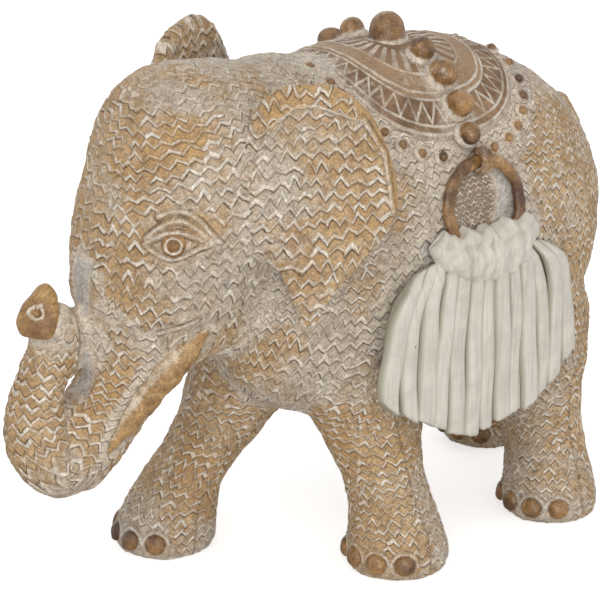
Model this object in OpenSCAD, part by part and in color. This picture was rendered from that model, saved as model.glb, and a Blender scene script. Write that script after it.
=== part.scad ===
// Carved elephant figurine with a beaded saddle cloth, rings and tassels.
// It faces -X, its left side is -Y, and it stands on Z = 0.

/* [Torso] */
// Length of the torso from chest to rump
torso_length = 116; // [110:1:120]
// Width of the torso across the flanks
torso_width = 68; // [64:1:74]
// Height of the back above the floor
back_height = 124.5; // [120:0.5:129]
// Height of the belly above the floor
belly_height = 36; // [32:1:38]

/* [Carving] */
// Depth of the zigzag rows that are cut round torso, head, trunk and legs
carving_depth = 0.9; // [0.5:0.1:1.1]

/* [Head] */
// Height of the crown of the head above the floor
crown_height = 130; // [127:1:135]
// Height of the chin above the floor
chin_height = 57; // [54:1:60]
// Width of the head across the cheeks
head_width = 48; // [45:1:52]
// Length of the head from forehead to nape
head_length = 50; // [47:1:54]
// Turn of the head to its right
head_turn = 8; // [0:1:10]
// Tilt of the head to its left
head_tilt = 3; // [0:1:5]

/* [Trunk and tusks] */
// Height of the lowest bend of the trunk above the floor
trunk_clearance = 27; // [22:1:32]
// Reach of the curl in front of the hanging part of the trunk
curl_reach = 6.5; // [6:0.5:9]
// Width of the plain lip at the trunk's end
lip_width = 12; // [10:0.5:14]
// Thickness of a tusk at its middle
tusk_thickness = 6; // [4:0.5:8]

/* [Ears] */
// Height of an ear from top fold to lower tip
ear_height = 60; // [54:1:66]
// Length of an ear from front to rear edge
ear_length = 33; // [30:1:36]
// Thickness of an ear
ear_thickness = 4; // [3:0.5:5]

/* [Legs] */
// Radius of a front foot
front_foot_radius = 12.4; // [12:0.2:15]
// Radius of a hind foot
hind_foot_radius = 12.1; // [11.5:0.2:14]
// Radius of the legs at the ankle
ankle_radius = 10.2; // [9:0.2:11.5]
// Distance of the feet from the middle of the body
stance = 23.5; // [21:0.5:26]
// Length of the stride between the front feet
front_stride = 36.6; // [30:0.2:42]
// Length of the stride between the hind feet
hind_stride = 22; // [14:1:26]

// Number of nails on each foot
nail_count = 4; // [3:1:5]
// Radius of a nail
nail_radius = 2.6; // [2:0.1:3]

/* [Trappings] */
// Half length of the saddle cloth along the spine
cloth_reach = 26.5; // [23:0.5:29]
// Drop of the saddle cloth down the flank, as an angle from the spine
cloth_drop = 53; // [48:1:56]
// Thickness of the saddle cloth
cloth_thickness = 1.4; // [1:0.1:2]
// Diameter of the crown bead
crown_bead = 9; // [8:0.5:11]
// Diameter of the studs round the cloth
stud_size = 2.7; // [2.4:0.1:3.4]
// Number of studs round the cloth
stud_count = 34; // [28:1:36]
// Outer diameter of a ring
ring_size = 26; // [23:0.5:28]
// Thickness of the bar of a ring
ring_bar = 3.2; // [2.6:0.2:3.8]
// Number of strands in a tassel
strand_count = 14; // [10:1:16]
// Length of a tassel below its gathered head
tassel_length = 43; // [38:1:46]
// Width of a tassel at its lower end
tassel_width = 60; // [54:1:64]

/* [Dowels] */
// Diameter of the dowels in the legs
leg_dowel = 6; // [4:0.5:8]
// Diameter of the dowels in the neck and the trunk
neck_dowel_size = 8; // [6:0.5:10]
// Diameter of the pegs in the ears and the tail
small_peg = 3; // [2:0.2:3.6]

/* [Hidden] */
$fn = 48;

carved = [0.80, 0.64, 0.44];
stained = [0.58, 0.38, 0.20];
cream = [0.91, 0.89, 0.83];
pale = [0.86, 0.76, 0.58];

// Sections of the carved shapes are superellipses, a little fuller than an ellipse
section_power = 2.2;
// Play between a dowel and its bore, on the radius
play = 0.1;

// Carving: every second row of points lies deeper, and each row swings half a step to and fro
function swing(i) = i % 2 == 0 ? 0.5 : -0.5;
function ramp(v, low, high) = min(max((v - low) / (high - low), 0), 1);

// Small helpers for vectors and curves
function unit(v) = v / norm(v);
function power(v, e) = sign(v) * pow(abs(v), e);
function fullness(u, p) = pow(max(0, 1 - pow(abs(u), p)), 1 / p);
function blend(a, b, t) = a + (b - a) * t;

// Smooth curve through a list of stations, for t from 0 to 1
function curve(stations, t) =
    let (
        last = len(stations) - 1,
        u = min(max(t, 0), 1) * last,
        i = min(floor(u), last - 1),
        f = u - i,
        a = stations[max(i - 1, 0)],
        b = stations[i],
        c = stations[i + 1],
        d = stations[min(i + 2, last)]
    )
    b + 0.5 * f * (c - a + f * (2 * a - 5 * b + 4 * c - d + f * (3 * (b - c) + d - a)));

// The same, through a list of points that closes on itself
function closed_curve(points, t) =
    let (n = len(points), ring = [for (i = [-1 : n + 1]) points[(i + n) % n]])
    curve(ring, (1 + t * n) / (n + 2));

// Solid through a list of closed rings with equal numbers of points
module loft(rings) {
    m = len(rings);
    n = len(rings[0]);
    sides = [
        for (i = [0 : m - 2], j = [0 : n - 1])
            let (k = (j + 1) % n)
            each [
                [i * n + j, (i + 1) * n + k, i * n + k],
                [i * n + j, (i + 1) * n + j, (i + 1) * n + k]
            ]
    ];
    first = [for (j = [0 : n - 1]) j];
    final = [for (j = [n - 1 : -1 : 0]) (m - 1) * n + j];
    polyhedron([for (r = rings) each r], concat([first], sides, [final]), convexity = 8);
}

// Turns the Z axis of its children to a direction, with their X axis kept level
module facing(direction) {
    d = unit(direction);
    rotate([0, acos(d[2]), atan2(d[1], d[0])]) rotate(90) children();
}

// Round bar between two points
module bar(a, b, diameter) {
    translate(a) facing(b - a) cylinder(d = diameter, h = norm(b - a));
}

module on_right() {
    mirror([0, 1, 0]) children();
}

// Torso: flank, rise and sag are its half width and its height above and below the waist
torso_mid = 0;
torso_waist = belly_height + 0.46 * (back_height - belly_height);
function along(x) = (x - torso_mid) / (torso_length / 2);
function flank(x) = torso_width / 2 * fullness(along(x), 2.25);
function rise(x) =
    (back_height - torso_waist) * (1 - 0.06 * along(x)) * fullness(along(x), along(x) < 0 ? 4.5 : 2.15);
function sag(x) = (torso_waist - belly_height) * fullness(along(x), along(x) < 0 ? 3.6 : 2.4);

// Point on the torso: a turns from the spine at 0 over the left flank to the belly at 180
function torso_at(x, a) = [
    x,
    -flank(x) * power(sin(a), 2 / section_power),
    torso_waist + (cos(a) > 0 ? rise(x) : sag(x)) * power(cos(a), 2 / section_power)
];
function torso_normal(x, a) =
    unit(cross(
        torso_at(x, a + 1) - torso_at(x, a - 1),
        torso_at(x + 0.2, a) - torso_at(x - 0.2, a)
    ));
function torso_over(x, a, lift) = torso_at(x, a) + lift * torso_normal(x, a);

// The cloth and its studs lie on a plain part of the back, and the ends of the torso are plain
function from_cloth(x, a) =
    let (b = a > 180 ? 360 - a : a)
    pow(pow(abs(x - cloth_mid) / cloth_reach, 8 / 3) + pow(b / cloth_drop, 8 / 3), 3 / 8);
function torso_carved(x, a) = ramp(flank(x), 0, torso_width / 5) * ramp(from_cloth(x, a), 1.2, 1.35);

// Without a depth this is the smooth form that cuts the neighbours to fit
module torso_form(depth = 0) {
    rings = 34;
    sides = 52;
    loft([
        for (i = [0 : rings])
            let (x = torso_mid - torso_length / 2 * 0.999 * cos(180 * i / rings))
            [
                for (j = [0 : sides - 1])
                    let (a = (360 * (j + swing(i)) / sides + 360) % 360)
                    torso_over(x, a, -depth * (j % 2) * torso_carved(x, a))
            ]
    ]);
}

module torso() {
    color(carved) difference() {
        torso_form(carving_depth);
        leg_dowel_bars(play);
        neck_dowel_bar(play);
        tail_peg_bar(play);
    }
}

// The head and all that it carries turn about the middle of the neck
neck = [torso_mid - torso_length / 2 + 16, 0, 0.8 * back_height];
module turned() {
    translate(neck) rotate([head_tilt, 0, -head_turn]) translate(-neck) children();
}

// Head: share of the height, forward reach, backward reach and half width of each level
head_mid = torso_mid - torso_length / 2 - 10;
head_levels = [
    [0.00, 0.20, 0.16, 0.18],
    [0.06, 0.62, 0.52, 0.50],
    [0.24, 0.98, 0.84, 0.80],
    [0.45, 0.96, 0.98, 0.96],
    [0.66, 0.79, 1.04, 1.00],
    [0.82, 0.68, 1.02, 0.88],
    [0.94, 0.47, 0.86, 0.58],
    [1.00, 0.04, 0.10, 0.06]
];
function head_at(t, a) =
    let (
        s = curve(head_levels, t),
        front = head_mid - s[1] * head_length / 2,
        back = head_mid + s[2] * head_length / 2
    )
    [
        (front + back) / 2 - (back - front) / 2 * power(cos(a), 2 / section_power),
        -s[3] * head_width / 2 * power(sin(a), 2 / section_power),
        blend(chin_height, crown_height, s[0])
    ];

function head_normal(t, a) =
    unit(cross(head_at(t, a + 1) - head_at(t, a - 1), head_at(t + 0.01, a) - head_at(t - 0.01, a)));

// The eyes lie in a plain patch
function head_carved(t, a) =
    let (b = a > 180 ? 360 - a : a)
    ramp(norm([(b - eye_turn) / 24, (t - eye_level) / 0.1]), 1, 1.3) * ramp(t, 0, 0.06) * ramp(1 - t, 0, 0.06);

// The rows swing less towards the chin and the crown
function head_swing(t) = ramp(t, 0, 0.1) * ramp(1 - t, 0.06, 0.25);

module head_form(depth = 0) {
    rings = 20;
    sides = 36;
    loft([
        for (i = [0 : rings])
            [
                for (j = [0 : sides - 1])
                    let (a = 360 * j / sides, u = i / rings, t = u + swing(j) * head_swing(u) / rings)
                    head_at(t, a) - depth * (i % 2) * head_carved(t, a) * head_normal(t, a)
            ]
    ]);
}

module head() {
    color(carved) difference() {
        turned() head_form(carving_depth);
        torso_form();
        neck_dowel_bar(play);
        turned() trunk_dowel_bar(play);
        turned() ear_peg_bar(play);
        turned() on_right() ear_peg_bar(play);
        turned() eye_peg(play);
        turned() on_right() eye_peg(play);
    }
}

// Trunk: forward place, height, half width and half depth along its middle line
trunk_low = trunk_clearance + 10;
trunk_fall = head_mid - 26;
curl = trunk_fall - curl_reach;
trunk_line = [
    [head_mid - 6, chin_height + 37, 0.37 * head_width, 0.32 * head_width],
    [head_mid - 10.5, chin_height + 23, 0.345 * head_width, 0.325 * head_width],
    [head_mid - 13.5, chin_height + 9, 0.29 * head_width, 0.255 * head_width],
    [head_mid - 17.5, chin_height - 5, 0.24 * head_width, 0.212 * head_width],
    [trunk_fall, trunk_low + 3, 0.21 * head_width, 0.21 * head_width],
    [curl + 0.5, trunk_low, 0.19 * head_width, 0.19 * head_width],
    [curl - 5, trunk_low + 8.5, 0.16 * head_width, 0.154 * head_width],
    [curl - 3, trunk_low + 20, 0.13 * head_width, 0.12 * head_width],
    [curl - 0.2, trunk_low + 28, 0.46 * lip_width, 0.43 * lip_width],
    [curl + 0.8, trunk_low + 33.5, 0.43 * lip_width, 0.42 * lip_width],
    [curl - 2, trunk_low + 37, 0.43 * lip_width, 0.42 * lip_width]
];
function trunk_middle(t) = let (s = curve(trunk_line, t)) [s[0], 0, s[1]];
function trunk_ahead(t) = unit(trunk_middle(t + 0.01) - trunk_middle(t - 0.01));
function trunk_at(t, a, depth = 0) =
    let (s = curve(trunk_line, t), d = trunk_ahead(t))
    trunk_middle(t) + (s[3] - depth) * cos(a) * [-d[2], 0, d[0]] + (s[2] - depth) * sin(a) * [0, 1, 0];
function trunk_carved(t) = ramp(t, 0.25, 0.3) * ramp(1 - t, 0.08, 0.13);

module trunk_form(depth = 0) {
    rings = 32;
    sides = 18;
    loft([
        for (i = [0 : rings])
            [
                for (j = [0 : sides - 1])
                    let (t = (i + 0.8 * swing(j) * trunk_carved(i / rings)) / rings)
                    trunk_at(t, -360 * j / sides, depth * (i % 2) * trunk_carved(t))
            ]
    ]);
}

module trunk() {
    color(carved) difference() {
        turned() trunk_form(0.75 * carving_depth);
        turned() head_form();
        turned() trunk_dowel_bar(play);
    }
}

// Lip at the end of the trunk: a rounded triangle with a nostril, from share, height and roundness
lip_steps = [
    [0.84, 0, 0],
    [0.95, 1.2, 0.1],
    [1, 2.6, 0.16],
    [0.92, 3.6, 0.16],
    [0.72, 3.8, 0.14],
    [0.52, 2.4, 0.1],
    [0.05, 2, 0]
];
function lip_at(step, a) =
    let (d = trunk_ahead(1), r = step[0] * lip_width / 2 * (1 + step[2] * cos(3 * a)))
    trunk_middle(1) + step[1] * d + r * (cos(a) * [-d[2], 0, d[0]] + sin(a) * [0, 1, 0]);

module trunk_tip() {
    sides = 24;
    color(stained) turned() loft([
        for (s = lip_steps) [for (j = [0 : sides - 1]) lip_at(s, -360 * j / sides)]
    ]);
}

// Ears: outline as shares of the length and height, from the upper front corner
ear_front = head_mid + 4;
ear_top = crown_height + 0.5;
ear_outline = [
    [0.10, 0.09],
    [0.25, 0.015],
    [0.46, 0.00],
    [0.72, 0.06],
    [0.93, 0.26],
    [1.00, 0.50],
    [0.84, 0.68],
    [0.60, 0.84],
    [0.45, 0.99],
    [0.32, 0.93],
    [0.17, 0.74],
    [0.07, 0.50],
    [0.06, 0.26]
];
function ear_place(u, v, lift) = [
    ear_front + u * ear_length,
    -head_width / 2 + 2 - 14 * pow(max(u, 0), 1.1) - 2 * v * v - lift,
    ear_top - v * ear_height
];
// Share of the outline and share of the thickness, from the back over the rim to the hollow front
ear_steps = [
    [0.05, -0.5],
    [0.6, -0.5],
    [0.94, -0.45],
    [1, 0],
    [0.94, 0.5],
    [0.84, 0.3],
    [0.45, 0.15],
    [0.05, 0.1]
];

module ear_form() {
    sides = 36;
    middle = [0.45, 0.42];
    outline = [for (j = [0 : sides - 1]) closed_curve(ear_outline, 1 - j / sides)];
    loft([
        for (s = ear_steps)
            [for (p = outline) let (q = blend(middle, p, s[0])) ear_place(q[0], q[1], s[1] * ear_thickness)]
    ]);
}

module ear_left() {
    color(carved) difference() {
        turned() ear_form();
        turned() head_form();
        torso_form();
        turned() ear_peg_bar(play);
    }
}

module ear_right() {
    color(carved) difference() {
        turned() on_right() ear_form();
        turned() head_form();
        torso_form();
        turned() on_right() ear_peg_bar(play);
    }
}

// Legs: foot and hip in plan, with the height, radius and share of the way to the hip of each level
front_foot_mid = torso_mid - 0.343 * torso_length;
hind_foot_mid = torso_mid + 0.3655 * torso_length;
hip_height = torso_waist - 4;
function leg_level(foot_radius, t) =
    curve([
        [0, 0.95 * foot_radius, 0],
        [2, foot_radius, 0],
        [8, 0.95 * foot_radius, 0.03],
        [13, 0.4 * foot_radius + 0.6 * ankle_radius, 0.09],
        [19, ankle_radius, 0.22],
        [29, 1.06 * ankle_radius, 0.5],
        [41, 1.4 * ankle_radius, 0.78],
        [55, 1.5 * ankle_radius, 0.95],
        [hip_height, 0.95 * ankle_radius, 1]
    ], t);
function leg_middle(leg, t) =
    let (s = leg_level(leg[2], t), c = blend(leg[0], leg[1], s[2]))
    [c[0], c[1], s[0]];
function leg_at(leg, t, a, depth = 0) =
    leg_middle(leg, t) - (leg_level(leg[2], t)[1] - depth) * [cos(a), sin(a), 0];
// The foot round the nails is plain
function leg_carved(t) = ramp(t, 0.28, 0.36) * ramp(1 - t, 0, 0.1);

hip = stance - 10;
function leg_from(foot_mid, stride, side, hip_share, radius) = [
    [foot_mid + stride / 2, side * stance],
    [torso_mid + hip_share * torso_length, side * hip],
    radius
];
front_left = leg_from(front_foot_mid, front_stride, -1, -0.233, front_foot_radius);
front_right = leg_from(front_foot_mid, -front_stride, 1, -0.284, front_foot_radius);
hind_left = leg_from(hind_foot_mid, -hind_stride, -1, 0.27, hind_foot_radius);
hind_right = leg_from(hind_foot_mid, hind_stride, 1, 0.305, hind_foot_radius);
legs = [front_left, front_right, hind_left, hind_right];

module leg_form(leg) {
    rings = 16;
    sides = 24;
    loft([
        for (i = [0 : rings])
            [
                for (j = [0 : sides - 1])
                    let (t = (i + 0.8 * swing(j) * leg_carved(i / rings)) / rings)
                    leg_at(leg, t, 360 * j / sides, carving_depth * (i % 2) * leg_carved(t))
            ]
    ]);
}

module leg_piece(leg) {
    color(carved) difference() {
        leg_form(leg);
        torso_form();
        leg_dowel_bar(leg, play);
    }
}

module leg_front_left() {
    leg_piece(front_left);
}

module leg_front_right() {
    leg_piece(front_right);
}

module leg_hind_left() {
    leg_piece(hind_left);
}

module leg_hind_right() {
    leg_piece(hind_right);
}

// Nails: domes on the front of a foot, with the share of the radius and of the height of each ring
nail_level = 0.175;
nail_spread = 98;
nail_swing = 8;
nail_height = 0.6 * nail_radius;
nail_rings = [[0.05, 0.03], [0.6, 0.03], [1, 0.03], [0.94, 0.4], [0.72, 0.75], [0.38, 0.95], [0.05, 1]];
function nail_at(leg, a, ring, b) =
    let (
        turn = a + ring[0] * nail_radius * cos(b) / leg[2] * 180 / PI,
        level = nail_level + ring[0] * nail_radius * sin(b) / 48
    )
    leg_at(leg, level, turn) - ring[1] * nail_height * [cos(turn), sin(turn), 0];

module nails(leg) {
    sides = 10;
    color(stained) for (i = [0 : nail_count - 1])
        let (a = nail_spread * (i / (nail_count - 1) - 0.5) - nail_swing * sign(leg[0][1]))
        loft([for (r = nail_rings) [for (j = [0 : sides - 1]) nail_at(leg, a, r, 360 * j / sides)]]);
}

module nails_front_left() {
    nails(front_left);
}

module nails_front_right() {
    nails(front_right);
}

module nails_hind_left() {
    nails(hind_left);
}

module nails_hind_right() {
    nails(hind_right);
}

// Tail: it follows the rump, with the place and the radius of each station
rump = torso_mid + torso_length / 2;
tail_line = [
    concat(torso_over(rump - 7, 0, 0.5), 3.4),
    concat(torso_over(rump - 3, 0, 2), 3),
    concat([rump + 2.4, 0, torso_waist + 6], 2.4),
    concat([rump + 2.2, 0, torso_waist - 6], 2.1),
    concat(torso_over(rump - 2.5, 180, 2.6), 2.6),
    concat(torso_over(rump - 6, 180, 3), 2.8),
    concat(torso_over(rump - 9, 180, 3), 0.6)
];
function tail_at(t, a) =
    let (
        s = curve(tail_line, t),
        d = unit(curve(tail_line, t + 0.01) - curve(tail_line, t - 0.01)),
        out = unit([-d[2], 0, d[0]])
    )
    [s[0], s[1], s[2]] + s[3] * (cos(a) * out + sin(a) * [0, 1, 0]);

module tail() {
    rings = 18;
    sides = 12;
    color(carved) difference() {
        loft([for (i = [0 : rings]) [for (j = [0 : sides - 1]) tail_at(i / rings, -360 * j / sides)]]);
        torso_form();
        tail_peg_bar(play);
    }
}

// Tusks: they follow the side of the trunk from the corner of the mouth
tusk_line = [
    [head_mid - 1, -0.345 * head_width, chin_height + 15.5, 0.2],
    [head_mid - 6, -0.323 * head_width, chin_height + 8, 0.42],
    [head_mid - 14, -0.26 * head_width, chin_height - 2, 0.5],
    [head_mid - 19.5, -0.22 * head_width, chin_height - 10, 0.36],
    [head_mid - 24, -0.2 * head_width, chin_height - 16.5, 0.06]
];
function tusk_at(t, a) =
    let (
        s = curve(tusk_line, t),
        e = curve(tusk_line, t + 0.02) - curve(tusk_line, t - 0.02),
        d = unit([e[0], e[1], e[2]]),
        across = unit(cross(d, [0, 1, 0])),
        out = cross(across, d)
    )
    [s[0], s[1], s[2]] + s[3] * tusk_thickness * (cos(a) * across + sin(a) * out);

module tusk_form() {
    rings = 12;
    sides = 12;
    loft([for (i = [0 : rings]) [for (j = [0 : sides - 1]) tusk_at(i / rings, -360 * j / sides)]]);
}

module tusk_left() {
    color(stained) difference() {
        turned() tusk_form();
        turned() trunk_form();
        turned() head_form();
    }
}

module tusk_right() {
    color(stained) difference() {
        turned() on_right() tusk_form();
        turned() trunk_form();
        turned() head_form();
    }
}

// Eyes: a domed plug in a bore of the head
eye_level = 0.475;
eye_turn = 58;
eye_size = 5.2;
eye_place = head_at(eye_level, eye_turn);
eye_out = head_normal(eye_level, eye_turn);

module eye_peg(extra) {
    bar(eye_place - 5 * eye_out, eye_place + 2 * eye_out, 3 + 2 * extra);
}

module eye() {
    bar(eye_place - 4.5 * eye_out, eye_place + 0.4 * eye_out, 3);
    translate(eye_place) facing(eye_out) intersection() {
        translate([0, 0, -eye_size / 2 + 1.2]) sphere(d = eye_size * 1.3);
        translate([0, 0, 0.3]) cylinder(d = eye_size, h = eye_size);
    }
}

module eye_left() {
    color(stained) turned() eye();
}

module eye_right() {
    color(stained) turned() on_right() eye();
}

// Saddle cloth: an oval cap on the back, laid out by its share of the reach and the turn about its middle
cloth_mid = -6;
function oval(share, turn) = [
    cloth_mid + share * cloth_reach * power(cos(turn), 0.75),
    share * cloth_drop * power(sin(turn), 0.75)
];
function cloth_at(share, turn, lift) =
    let (p = oval(share, turn))
    torso_over(p[0], p[1], lift);
cloth_gap = 0.3;
// Share of the reach and of the thickness, from the middle below to the edge and back above
cloth_steps = [
    for (s = [0.02, 0.17, 0.34, 0.5, 0.67, 0.84, 1]) [s, 0],
    [1.01, 0.5],
    [1, 1],
    [0.94, 1],
    for (s = [0.92, 0.81, 0.7]) [s, 0.75],
    for (s = [0.68, 0.5, 0.34, 0.17, 0.02]) [s, 1]
];

module saddle_cloth() {
    sides = 48;
    color(pale) loft([
        for (s = cloth_steps)
            [for (j = [0 : sides - 1]) cloth_at(s[0], -360 * j / sides, cloth_gap + s[1] * cloth_thickness)]
    ]);
}

// Glue line under a bead
seat = 0.1;

// Half round on the torso: a ball cut flat where it sits
module ball_on(place, out, diameter, sunk) {
    translate(place) facing(out) intersection() {
        translate([0, 0, (0.5 - sunk) * diameter]) sphere(d = diameter);
        translate([-diameter, -diameter, 0]) cube(2 * diameter);
    }
}

module cloth_studs() {
    // The last bead of each strand takes the place of a stud
    clear = (strand_beads[3][1] * crown_bead + stud_size) / 2 + 0.4;
    color(stained) for (i = [0 : stud_count - 1])
        let (p = oval(1.1, 360 * (i + 0.5) / stud_count))
        if (abs(p[0] - cloth_mid) > clear)
            ball_on(torso_at(p[0], p[1]), torso_normal(p[0], p[1]), stud_size, 0.4);
}

module crown_bead() {
    color(stained) ball_on(
        torso_over(cloth_mid, 0, cloth_gap + cloth_thickness + seat),
        torso_normal(cloth_mid, 0),
        crown_bead,
        0.25
    );
}

// Beads of the strand: turn from the spine and size as a share of the crown bead
strand_beads = [[17.5, 0.72], [30, 0.82], [42, 0.76], [52, 0.62]];

module bead_strand() {
    for (b = strand_beads)
        ball_on(
            torso_over(cloth_mid, b[0], cloth_gap + cloth_thickness + seat),
            torso_normal(cloth_mid, b[0]),
            b[1] * crown_bead,
            0.25
        );
}

module beads_left() {
    color(stained) bead_strand();
}

module beads_right() {
    color(stained) on_right() bead_strand();
}

// Ring and its link: they lie flat on the flank below the strand
tassel_mid = -4;
ring_turn = 74.5;
ring_radius = (ring_size - ring_bar) / 2;
ring_lift = ring_bar / 2 - 0.4;

module on_flank() {
    translate(torso_over(tassel_mid, ring_turn, ring_lift))
        facing(torso_normal(tassel_mid, ring_turn))
            children();
}

module ring_form(extra) {
    on_flank() rotate_extrude() translate([ring_radius, 0]) circle(d = ring_bar + 2 * extra);
}

module ring_left() {
    color(stained) ring_form(0);
}

module ring_right() {
    color(stained) on_right() ring_form(0);
}

link_bar = 1.6;
link_radius = (ring_bar + link_bar) / 2 + 0.1;

module link_form() {
    for (side = [-0.6, 0.6])
        on_flank() translate([side * link_bar, ring_radius, 0]) intersection() {
            rotate([0, 90, 0]) rotate_extrude() translate([link_radius, 0]) circle(d = link_bar);
            translate([-ring_bar, -ring_size, 0.3 - ring_lift])
                cube([2 * ring_bar, 2 * ring_size, ring_size]);
        }
}

module link_left() {
    color(stained) link_form();
}

module link_right() {
    color(stained) on_right() link_form();
}

// Tassel: the gathered head lies on the flank over the lower part of the ring
gather_reach = 17.5;
gather_height = 6.2;
gather_depth = 4.2;
gather_folds = 7;
gather_turn = 83.5;
function gather_at(s, a) =
    let (
        x = tassel_mid + s * gather_reach,
        close = fullness(s, 3),
        fold = 1 + 0.1 * cos(360 * gather_folds * s / 2),
        up = torso_over(x, gather_turn - 1, 0) - torso_over(x, gather_turn + 1, 0),
        out = torso_normal(x, gather_turn)
    )
    torso_over(x, gather_turn, 0.4 + gather_depth * close)
        + close * fold * gather_height * sin(a) * unit(up)
        + close * fold * gather_depth * cos(a) * out / 1.1;

module gather_form() {
    rings = 28;
    sides = 14;
    loft([
        for (i = [0 : rings])
            [for (j = [0 : sides - 1]) gather_at(-0.999 * cos(180 * i / rings), -360 * j / sides)]
    ]);
}

module tassel_head_left() {
    color(cream) difference() {
        gather_form();
        ring_form(play);
    }
}

module tassel_head_right() {
    color(cream) on_right() difference() {
        gather_form();
        ring_form(play);
    }
}

// Fringe: a fluted sheet that hangs from the gathered head past the widest part of the flank
fringe_top_width = 42;
fringe_thickness = 2.6;
function hang(x, z) =
    flank(0.75 * x) * (z > torso_waist ? fullness((z - torso_waist) / rise(x), section_power) : 1);
function fringe_at(s, v, lift) =
    let (
        width = blend(fringe_top_width, tassel_width, 1 - pow(1 - v, 5)),
        x = tassel_mid + s * width / 2,
        top = torso_at(tassel_mid, gather_turn)[2] - gather_height,
        z = top - v * tassel_length * (1 - 0.39 * s * s)
    )
    [x, -hang(x, z) - lift, z];

// Sheet between a front and a back grid of points with equal rows and columns
module sheet(front, back) {
    m = len(front);
    n = len(front[0]);
    half = m * n;
    grid = [
        for (r = [0 : m - 2], c = [0 : n - 2])
            [r * n + c, r * n + c + 1, (r + 1) * n + c + 1, (r + 1) * n + c]
    ];
    rim = concat(
        [for (c = [0 : n - 2]) c],
        [for (r = [0 : m - 2]) r * n + n - 1],
        [for (c = [n - 1 : -1 : 1]) (m - 1) * n + c],
        [for (r = [m - 1 : -1 : 1]) r * n]
    );
    quads = concat(
        grid,
        [for (q = grid) [q[3] + half, q[2] + half, q[1] + half, q[0] + half]],
        [
            for (i = [0 : len(rim) - 1])
                let (k = (i + 1) % len(rim))
                [rim[k], rim[i], rim[i] + half, rim[k] + half]
        ]
    );
    triangles = [for (q = quads) each [[q[0], q[1], q[2]], [q[0], q[2], q[3]]]];
    polyhedron(concat([for (r = front) each r], [for (r = back) each r]), triangles, convexity = 8);
}

module fringe_form() {
    rows = 6;
    samples = 4 * strand_count;
    flute = function(i) fringe_thickness * (0.75 - 0.25 * cos(90 * i));
    columns = [for (i = [0 : samples]) 2 * i / samples - 1];
    sheet(
        [for (r = [0 : rows]) [for (i = [0 : samples]) fringe_at(columns[i], r / rows, 0.6 + flute(i))]],
        [for (r = [0 : rows]) [for (i = [0 : samples]) fringe_at(columns[i], r / rows, 0.6)]]
    );
}

module tassel_fringe_left() {
    color(cream) fringe_form();
}

module tassel_fringe_right() {
    color(cream) on_right() fringe_form();
}

// Dowels and pegs
module leg_dowel_bar(leg, extra) {
    low = leg_middle(leg, 0.54);
    high = [leg[1][0], leg[1][1], hip_height];
    bar(low - extra * unit(high - low), high + extra * unit(high - low), leg_dowel + 2 * extra);
}

module leg_dowel_bars(extra) {
    for (leg = legs) leg_dowel_bar(leg, extra);
}

module neck_dowel_bar(extra) {
    turned() bar(neck - [22 + extra, 0, 0], neck + [14 + extra, 0, 0], neck_dowel_size + 2 * extra);
}

module trunk_dowel_bar(extra) {
    a = [head_mid - 4, 0, chin_height + 35];
    b = [head_mid - 16, 0, chin_height + 3];
    bar(a - extra * unit(b - a), b + extra * unit(b - a), neck_dowel_size + 2 * extra);
}

module ear_peg_bar(extra) {
    place = ear_place(0.16, 0.3, 0);
    bar(place + [0, 12 + extra, 0], place - [0, extra, 0], small_peg + 2 * extra);
}

module tail_peg_bar(extra) {
    s = curve(tail_line, 0.12);
    place = [s[0], s[1], s[2]];
    bar(place - [10 + extra, 0, 2], place, small_peg + 2 * extra);
}

module leg_dowels() {
    color(pale) leg_dowel_bars(0);
}

module neck_dowel() {
    color(pale) neck_dowel_bar(0);
}

module trunk_dowel() {
    color(pale) turned() trunk_dowel_bar(0);
}

module ear_pegs() {
    color(pale) turned() {
        ear_peg_bar(0);
        on_right() ear_peg_bar(0);
    }
}

module tail_peg() {
    color(pale) tail_peg_bar(0);
}

// The origin lies under the middle of the whole figure
function turned_x(p) =
    let (side = p[1] * cos(head_tilt) - (p[2] - neck[2]) * sin(head_tilt))
    neck[0] + (p[0] - neck[0]) * cos(head_turn) + side * sin(head_turn);
front_end = min([
    for (t = [0.4 : 0.01 : 1], a = [0 : 20 : 340]) turned_x(trunk_at(t, a)),
    for (s = lip_steps, a = [0 : 15 : 345]) turned_x(lip_at(s, a))
]);
rear_end = max([
    hind_right[0][0] + hind_foot_radius,
    for (i = [0 : 18], a = [0 : 30 : 330]) tail_at(i / 18, a)[0]
]);
origin_shift = -(front_end + rear_end) / 2;

module placed() {
    translate([origin_shift, 0, 0]) children();
}

placed() torso();
placed() head();
placed() trunk();
placed() trunk_tip();
placed() ear_left();
placed() ear_right();
placed() leg_front_left();
placed() leg_front_right();
placed() leg_hind_left();
placed() leg_hind_right();
placed() tail();
placed() tusk_left();
placed() tusk_right();
placed() eye_left();
placed() eye_right();
placed() nails_front_left();
placed() nails_front_right();
placed() nails_hind_left();
placed() nails_hind_right();
placed() saddle_cloth();
placed() cloth_studs();
placed() crown_bead();
placed() beads_left();
placed() beads_right();
placed() ring_left();
placed() ring_right();
placed() link_left();
placed() link_right();
placed() tassel_head_left();
placed() tassel_head_right();
placed() tassel_fringe_left();
placed() tassel_fringe_right();
placed() leg_dowels();
placed() neck_dowel();
placed() trunk_dowel();
placed() ear_pegs();
placed() tail_peg();
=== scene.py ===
# %% [markdown]
# # A carved elephant, dressed for its photograph
# The solids of the part come in as a fixed frame, in metres. Each cell below turns one of those plain
# blanks into the carved, whitewashed or painted piece that the real figurine has, in the same place.

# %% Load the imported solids
import math
import bpy
import numpy as np
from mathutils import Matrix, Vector
from mathutils.bvhtree import BVHTree


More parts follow.
